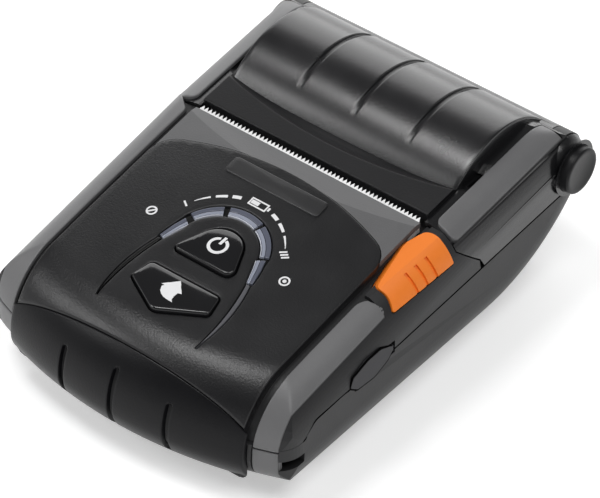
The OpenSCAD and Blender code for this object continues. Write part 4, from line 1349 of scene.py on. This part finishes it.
@dataclass
class LidSkins:
    """Outer skins of the lid between its rails: the grooved dome and the lip with its finger scoop."""

    half: float = 30.1
    radius: float = 21.5
    low_z: float = 33.0
    side_r: float = 0.5
    groove_x: tuple = (-14.62, 0.0, 14.62)
    groove_half: float = 0.6
    groove_soft: float = 0.28
    groove_deep: float = 0.62
    groove_front: float = 24.0
    groove_rear: float = 50.4
    fade_front: float = 7.0
    fade_rear: float = 0.5
    lip_front: float = 11.32
    lip_rear: float = 24.0
    lip_r: float = 0.45
    lip_gap: float = 0.03
    lip_blend: float = 0.12
    lip_low: float = 33.6
    dome_low: float = 19.7
    scoop_axis: float = 111.8
    scoop_r: float = 91.5
    scoop_z: float = 42.514
    tube_r: float = 8.0

    def build_dome(self) -> None:
        """Cylinder about the paper roll: radius less the side edges' roll-off and less the grooves.

        A groove's depth rises from nothing at its front end, and its sides are smooth steps of the distance
        to its middle.
        """
        offsets = (0.25, 0.42, 0.52, 0.6, 0.68, 0.78, 1.0)
        x = refined(self.half, 50, self.groove_x, offsets, self.side_r)
        reach = math.acos((self.low_z - ROLL[1]) / self.radius)
        across, around = np.meshgrid(x, np.linspace(-reach, reach, 190))
        y = ROLL[0] + self.radius * np.sin(around)
        radius = self.radius - roll_off(self.half - np.abs(across), self.side_r)
        along = smooth_step((y - self.groove_front) / self.fade_front)
        along = along * np.clip((self.groove_rear - y) / self.fade_rear, 0, 1)
        for gx in self.groove_x:
            away = np.abs(across - gx)
            sides = smooth_step((self.groove_half + self.groove_soft / 2 - away) / self.groove_soft)
            radius = radius - self.groove_deep * along * sides
        solids = [np.stack([across, ROLL[0] + r * np.sin(around), ROLL[1] + r * np.cos(around)], axis=-1)
                  for r in (radius, np.full_like(radius, self.dome_low))]
        Piece("lid_dome_skin", "lid", "lid_black", LID, 50).build(*shell(*solids))

    def build_lip(self) -> None:
        """Lip behind the paper slot: the lid's plane, hollowed by a ring whose tube leaves a lens shape."""
        x = np.linspace(-self.half + self.lip_gap, self.half - self.lip_gap, 160)
        run = np.linspace(0.6, self.lip_rear - self.lip_front, 90)
        y = self.lip_front + np.concatenate([self.lip_r * EDGE_STEPS, run])
        across, along = np.meshgrid(x, y)
        away = np.sqrt(across**2 + (self.scoop_axis - along) ** 2) - self.scoop_r
        ring = self.scoop_z - np.sqrt(np.maximum(self.tube_r**2 - away**2, 0.0))
        top = soft_min(lid_plane(along), ring, self.lip_blend)
        top = top - roll_off(along - self.lip_front, self.lip_r)
        outer = np.stack([across, along, top], axis=-1)
        inner = np.stack([across, along, np.full_like(top, self.lip_low)], axis=-1)
        Piece("lid_lip_skin", "lid", "lid_black", LIP, 50).build(*shell(outer, inner))

    def build(self) -> None:
        """Builds both skins."""
        self.build_dome()
        self.build_lip()


# Painted shade in the seams of the side walls


@dataclass
class SeamShades:
    """Dark strips of painted shade that lie in the seams of the side walls and round the port cover."""

    half_width: float = 0.22
    proud: float = 0.02
    deep: float = 0.35
    cover: tuple = ((-27, 19.8, 0.6), (-24.6, 17.9, 0.8), (-19, 17.4, 2), (-14.6, 18.9, 0.6),
                    (-13.3, 20.2, 0.3), (-13.3, 21.8, 0.3), (-17, 23.4, 2), (-21.2, 23.3, 2),
                    (-26, 21.9, 0.8))

    def wall(self, y: Array, z: Array) -> Array:
        """Distance of the side wall from the middle plane, drawn in above the shoulder's start."""
        rise = np.clip((z - 23.6 - BOW.slope * y) / math.sqrt(1 + BOW.slope**2), 0, 9.9)
        return 30.0 + np.sqrt(100.0 - rise**2)

    def seam(self, side: int) -> Solid:
        """Flat dark strip of painted shade along the seam between the case halves.

        Args:
            side: 1 for the right, -1 for the left.

        Returns:
            The points and the faces.
        """
        bend = rounded([(-42.4, 16.35, 0), (-41.6, 16.6, 0), (-38.2, 19.13, 3), (47.8, 23.0, 0),
                        (60, 23.6, 0), (60, 0, 0), (-42.4, 0, 0)], 8)
        run = bend[:int(np.argmin(np.abs(bend[:, 0] - 47.8))) + 1]
        y = np.concatenate([run[:-1, 0], np.linspace(run[-2, 0], run[-1, 0], 40)[1:]])
        z = np.interp(y, run[:, 0], run[:, 1])
        top = self.proud if side > 0 else -0.01
        rows = []
        for dz, out in ((-1, top), (1, top), (1, -self.deep), (-1, -self.deep)):
            level = z + dz * self.half_width
            rows.append(np.stack([side * (self.wall(y, level) + out), y, level], axis=-1))
        return loft(np.stack(rows, axis=1))

    def cover_ring(self) -> Solid:
        """Ring of painted shade in the gap round the port cover, drawn in y and z and laid on the right wall.

        Returns:
            The points and the faces.
        """
        loop = rounded(self.cover, 6)
        points, faces = plate(grow(loop, 0.36), lambda y, z, inset: 40.0 - inset, -self.proud, self.deep,
                              0.0, 1.0, [grow(loop, 0.02)])
        return points[:, [2, 0, 1]], faces

    def build(self) -> None:
        """Builds the strips of painted shade."""
        parts = [self.seam(1), self.seam(-1), self.cover_ring()]
        Piece("side_seam_shades", "case", "case_black", SEAM_SHADOW, 30).build(*joined(parts))


# Paper mouth and hinge


@dataclass
class PaperMouth:
    """Toothed blade at the paper slot."""

    half: float = 29.5
    teeth: int = 58
    front_y: float = 9.0
    thick: float = 0.5
    low_z: float = 31.5
    bend_z: float = 34.45
    root_y: float = 9.3
    tip_y: float = 10.35
    rise: float = 0.22
    foot_y: Point2 = (5.6, 9.01)
    foot_thick: float = 0.6

    def build(self) -> None:
        """Upright blade whose top is bent over the slot; the free edge follows a zigzag in y."""
        count = 2 * self.teeth + 1
        x = np.linspace(-self.half, self.half, count)
        far = np.where(np.arange(count) % 2 == 1, self.tip_y, self.root_y)
        lift = self.rise * (far - self.front_y)
        level = np.full(count, 1.0)
        back = self.front_y + self.thick
        rows = [(self.front_y * level, self.low_z * level), (self.front_y * level, self.bend_z * level),
                (far, self.bend_z + lift), (far, self.bend_z + lift - 0.28),
                (np.minimum(far, back), (self.bend_z - 0.34) * level), (back * level, self.low_z * level)]
        sections = np.stack([np.stack([x, y, z], axis=-1) for y, z in rows], axis=1)
        (front, rear), half = self.foot_y, self.half
        low = np.array([(-half, front, self.low_z), (half, front, self.low_z), (half, rear, self.low_z),
                        (-half, rear, self.low_z)])
        foot = loft(np.stack([low, low + (0, 0, self.foot_thick)]))
        Piece("tear_blade", "case", "bright_steel", BLADE, 20,
              "tear_bar").build(*joined([loft(sections), foot]))


@dataclass
class HingeCap:
    """Turned hinge pins: the right one ends in a round cap, the left one is flush."""

    start_x: float = 34.1
    left_x: float = 40.0
    pin_r: float = 2.0
    cap_r: float = 5.4
    face_x: float = 42.75
    back_x: float = 40.25
    soft: float = 0.55
    back_soft: float = 0.15
    sunk_r: float = 4.3
    sunk: float = 0.06

    def build(self) -> None:
        """Turns both profiles; the cap has rounded rims and a slightly sunk face."""
        floor_x = self.face_x - self.sunk
        rim = polar((self.face_x - self.soft, self.cap_r - self.soft), self.soft, 90, 0, 6)
        right = np.concatenate([[(self.start_x, 0), (self.start_x, self.pin_r), (self.back_x, self.pin_r),
                                 (self.back_x, self.cap_r - self.back_soft),
                                 (self.back_x + self.back_soft, self.cap_r)], rim,
                                [(self.face_x, self.sunk_r), (floor_x, self.sunk_r - 0.15), (floor_x, 0)]])
        left = np.array([(-self.start_x, 0), (-self.start_x, self.pin_r), (0.2 - self.left_x, self.pin_r),
                         (-self.left_x, self.pin_r - 0.2), (-self.left_x, 0)])
        solids = [revolve(right, HINGE), revolve(left[::-1], HINGE, 48)]
        Piece("hinge_cap_turned", "case", "pin_black", PIN, 30, "hinge_pins").build(*joined(solids))


# Moulded shells


@dataclass
class MouldedShells:
    """Mouldings of the model with merged corners, smooth shading and softened edges."""

    soften: float = 0.00028
    bevel_angle: float = 16.0
    cut_y: float = 46.5
    barrel_r: float = 6.8
    end_round: float = 4.05
    end_fall: float = 0.8
    end_x: float = 36.0
    end_cuts: tuple = (37.8, 38.6, 39.3, 39.75)
    sink: float = 0.14
    cover_x: float = 40.08
    nodes: tuple = (
        ("bottom_case", "case", "case_black", CASE_SIDE), ("top_case", "case", "case_black", CASE_SIDE),
        ("lid", "lid", "lid_black", LID), ("open_button", "release", "release_orange", ORANGE),
        ("ramp_plate", "case", "ramp_grey", RAMP), ("port_cover", "cover", "cover_rubber", COVER),
    )

    def build(self) -> None:
        """Copies each node's mesh, merges its loose corners and softens its edges with a bevel."""
        for node, body, slot, finish in self.nodes:
            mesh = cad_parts[node].data.copy()
            mesh.name = node + "_moulded"
            work = bmesh.new()
            work.from_mesh(mesh)
            bmesh.ops.remove_doubles(work, verts=work.verts, dist=2e-6)
            bmesh.ops.dissolve_limit(work, angle_limit=math.radians(0.4), verts=work.verts, edges=work.edges)
            if node == "lid":
                self.round_hinge_ends(work)
                self.sink_under_skins(work)
            if node == "port_cover":
                for vert in work.verts:
                    vert.co.x = min(vert.co.x, (self.cover_x - HALF_CAP) * MM)
            work.to_mesh(mesh)
            work.free()
            obj = Piece(node + "_moulded", body, slot, finish, self.bevel_angle, node).settle(mesh)
            bevel = obj.modifiers.new("soft_edges", "BEVEL")
            bevel.width = self.soften
            bevel.segments = 3
            bevel.harden_normals = True
            bevel.limit_method = "ANGLE"
            bevel.angle_limit = math.radians(self.bevel_angle)

    def cut(self, work: bmesh.types.BMesh, faces: list[bmesh.types.BMFace], place: Point3,
            normal: Point3) -> None:
        """Cuts some faces along a plane and leaves the others whole.

        Args:
            work: The mesh, in metres.
            faces: The faces to cut.
            place: A point of the plane, in millimetres.
            normal: The plane's normal.
        """
        edges = dict.fromkeys(edge for face in faces for edge in face.edges)
        verts = dict.fromkeys(vert for face in faces for vert in face.verts)
        bmesh.ops.bisect_plane(work, geom=[*verts, *edges, *faces], plane_co=Vector(place) * MM,
                               plane_no=normal)

    def round_hinge_ends(self, work: bmesh.types.BMesh) -> None:
        """Draws in the hinge ends of the lid: the radius falls on a quarter-round towards the side wall.

        Args:
            work: The lid's mesh, in metres.
        """
        walls = [face for face in work.faces
                 if abs(face.calc_center_median().x / MM + HALF_CAP) > self.end_x]
        self.cut(work, walls, (0, self.cut_y, 0), (0, 1, 0))
        for side in (-1, 1):
            for x in self.end_cuts:
                near = [face for face in work.faces if self.at_hinge(face.calc_center_median())]
                self.cut(work, near, (side * x - HALF_CAP, 0, 0), (1, 0, 0))
        for vert in work.verts:
            x = abs(vert.co.x / MM + HALF_CAP)
            dy, dz = vert.co.y / MM - HINGE[0], vert.co.z / MM - HINGE[1]
            radius = math.hypot(dy, dz)
            if dz < -4.9 or dy < -6.5 or not (self.end_x < x < 40.01 and 4.0 < radius < 7.0):
                continue
            drop = self.end_round - math.sqrt(self.end_round**2 - (x - self.end_x) ** 2)
            keep = max(min(radius, self.barrel_r - self.end_fall * drop), 3.0) / radius
            vert.co.y = (HINGE[0] + dy * keep) * MM
            vert.co.z = (HINGE[1] + dz * keep) * MM

    def at_hinge(self, place: Vector) -> bool:
        """Whether a place in metres lies at the lid's hinge ends."""
        dy, dz = place.y / MM - HINGE[0], place.z / MM - HINGE[1]
        return abs(place.x / MM + HALF_CAP) > 35.5 and 4.0 < math.hypot(dy, dz) < 7.2 and dy > -6.8

    def sink_under_skins(self, work: bmesh.types.BMesh) -> None:
        """Draws the lid's dome and lip in by a little, so that their own skins lie over them.

        Args:
            work: The lid's mesh, in metres.
        """
        for vert in work.verts:
            x, y, z = vert.co.x / MM + HALF_CAP, vert.co.y / MM, vert.co.z / MM
            if abs(x) > 30.2 or z < 33.05:
                continue
            radius = math.hypot(y - ROLL[0], z - ROLL[1])
            if radius > 20.7 and y > 18.8:
                keep = (radius - self.sink) / radius
                vert.co.y = (ROLL[0] + (y - ROLL[0]) * keep) * MM
                vert.co.z = (ROLL[1] + (z - ROLL[1]) * keep) * MM
                if abs(x) > 30.0:
                    vert.co.x = (math.copysign(30.0, x) - HALF_CAP) * MM
            elif y < 24.5:
                vert.co.z = (z - self.sink) * MM


def dress_frame() -> None:
    """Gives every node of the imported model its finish."""
    for finish, names in NODE_FINISH.items():
        for name in names.split():
            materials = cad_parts[name].data.materials
            materials.clear()
            materials.append(finish.material())


def main() -> None:
    """Builds the scene and reports its pieces."""
    logging.basicConfig(level=logging.INFO, format="%(name)s: %(message)s")
    Studio().build()
    dress_frame()
    for maker in (FrontPanel, BatteryEnd, Rails, LidSkins, SeamShades, PaperMouth, HingeCap, MouldedShells):
        maker().build()


if __name__ == "__main__":
    main()
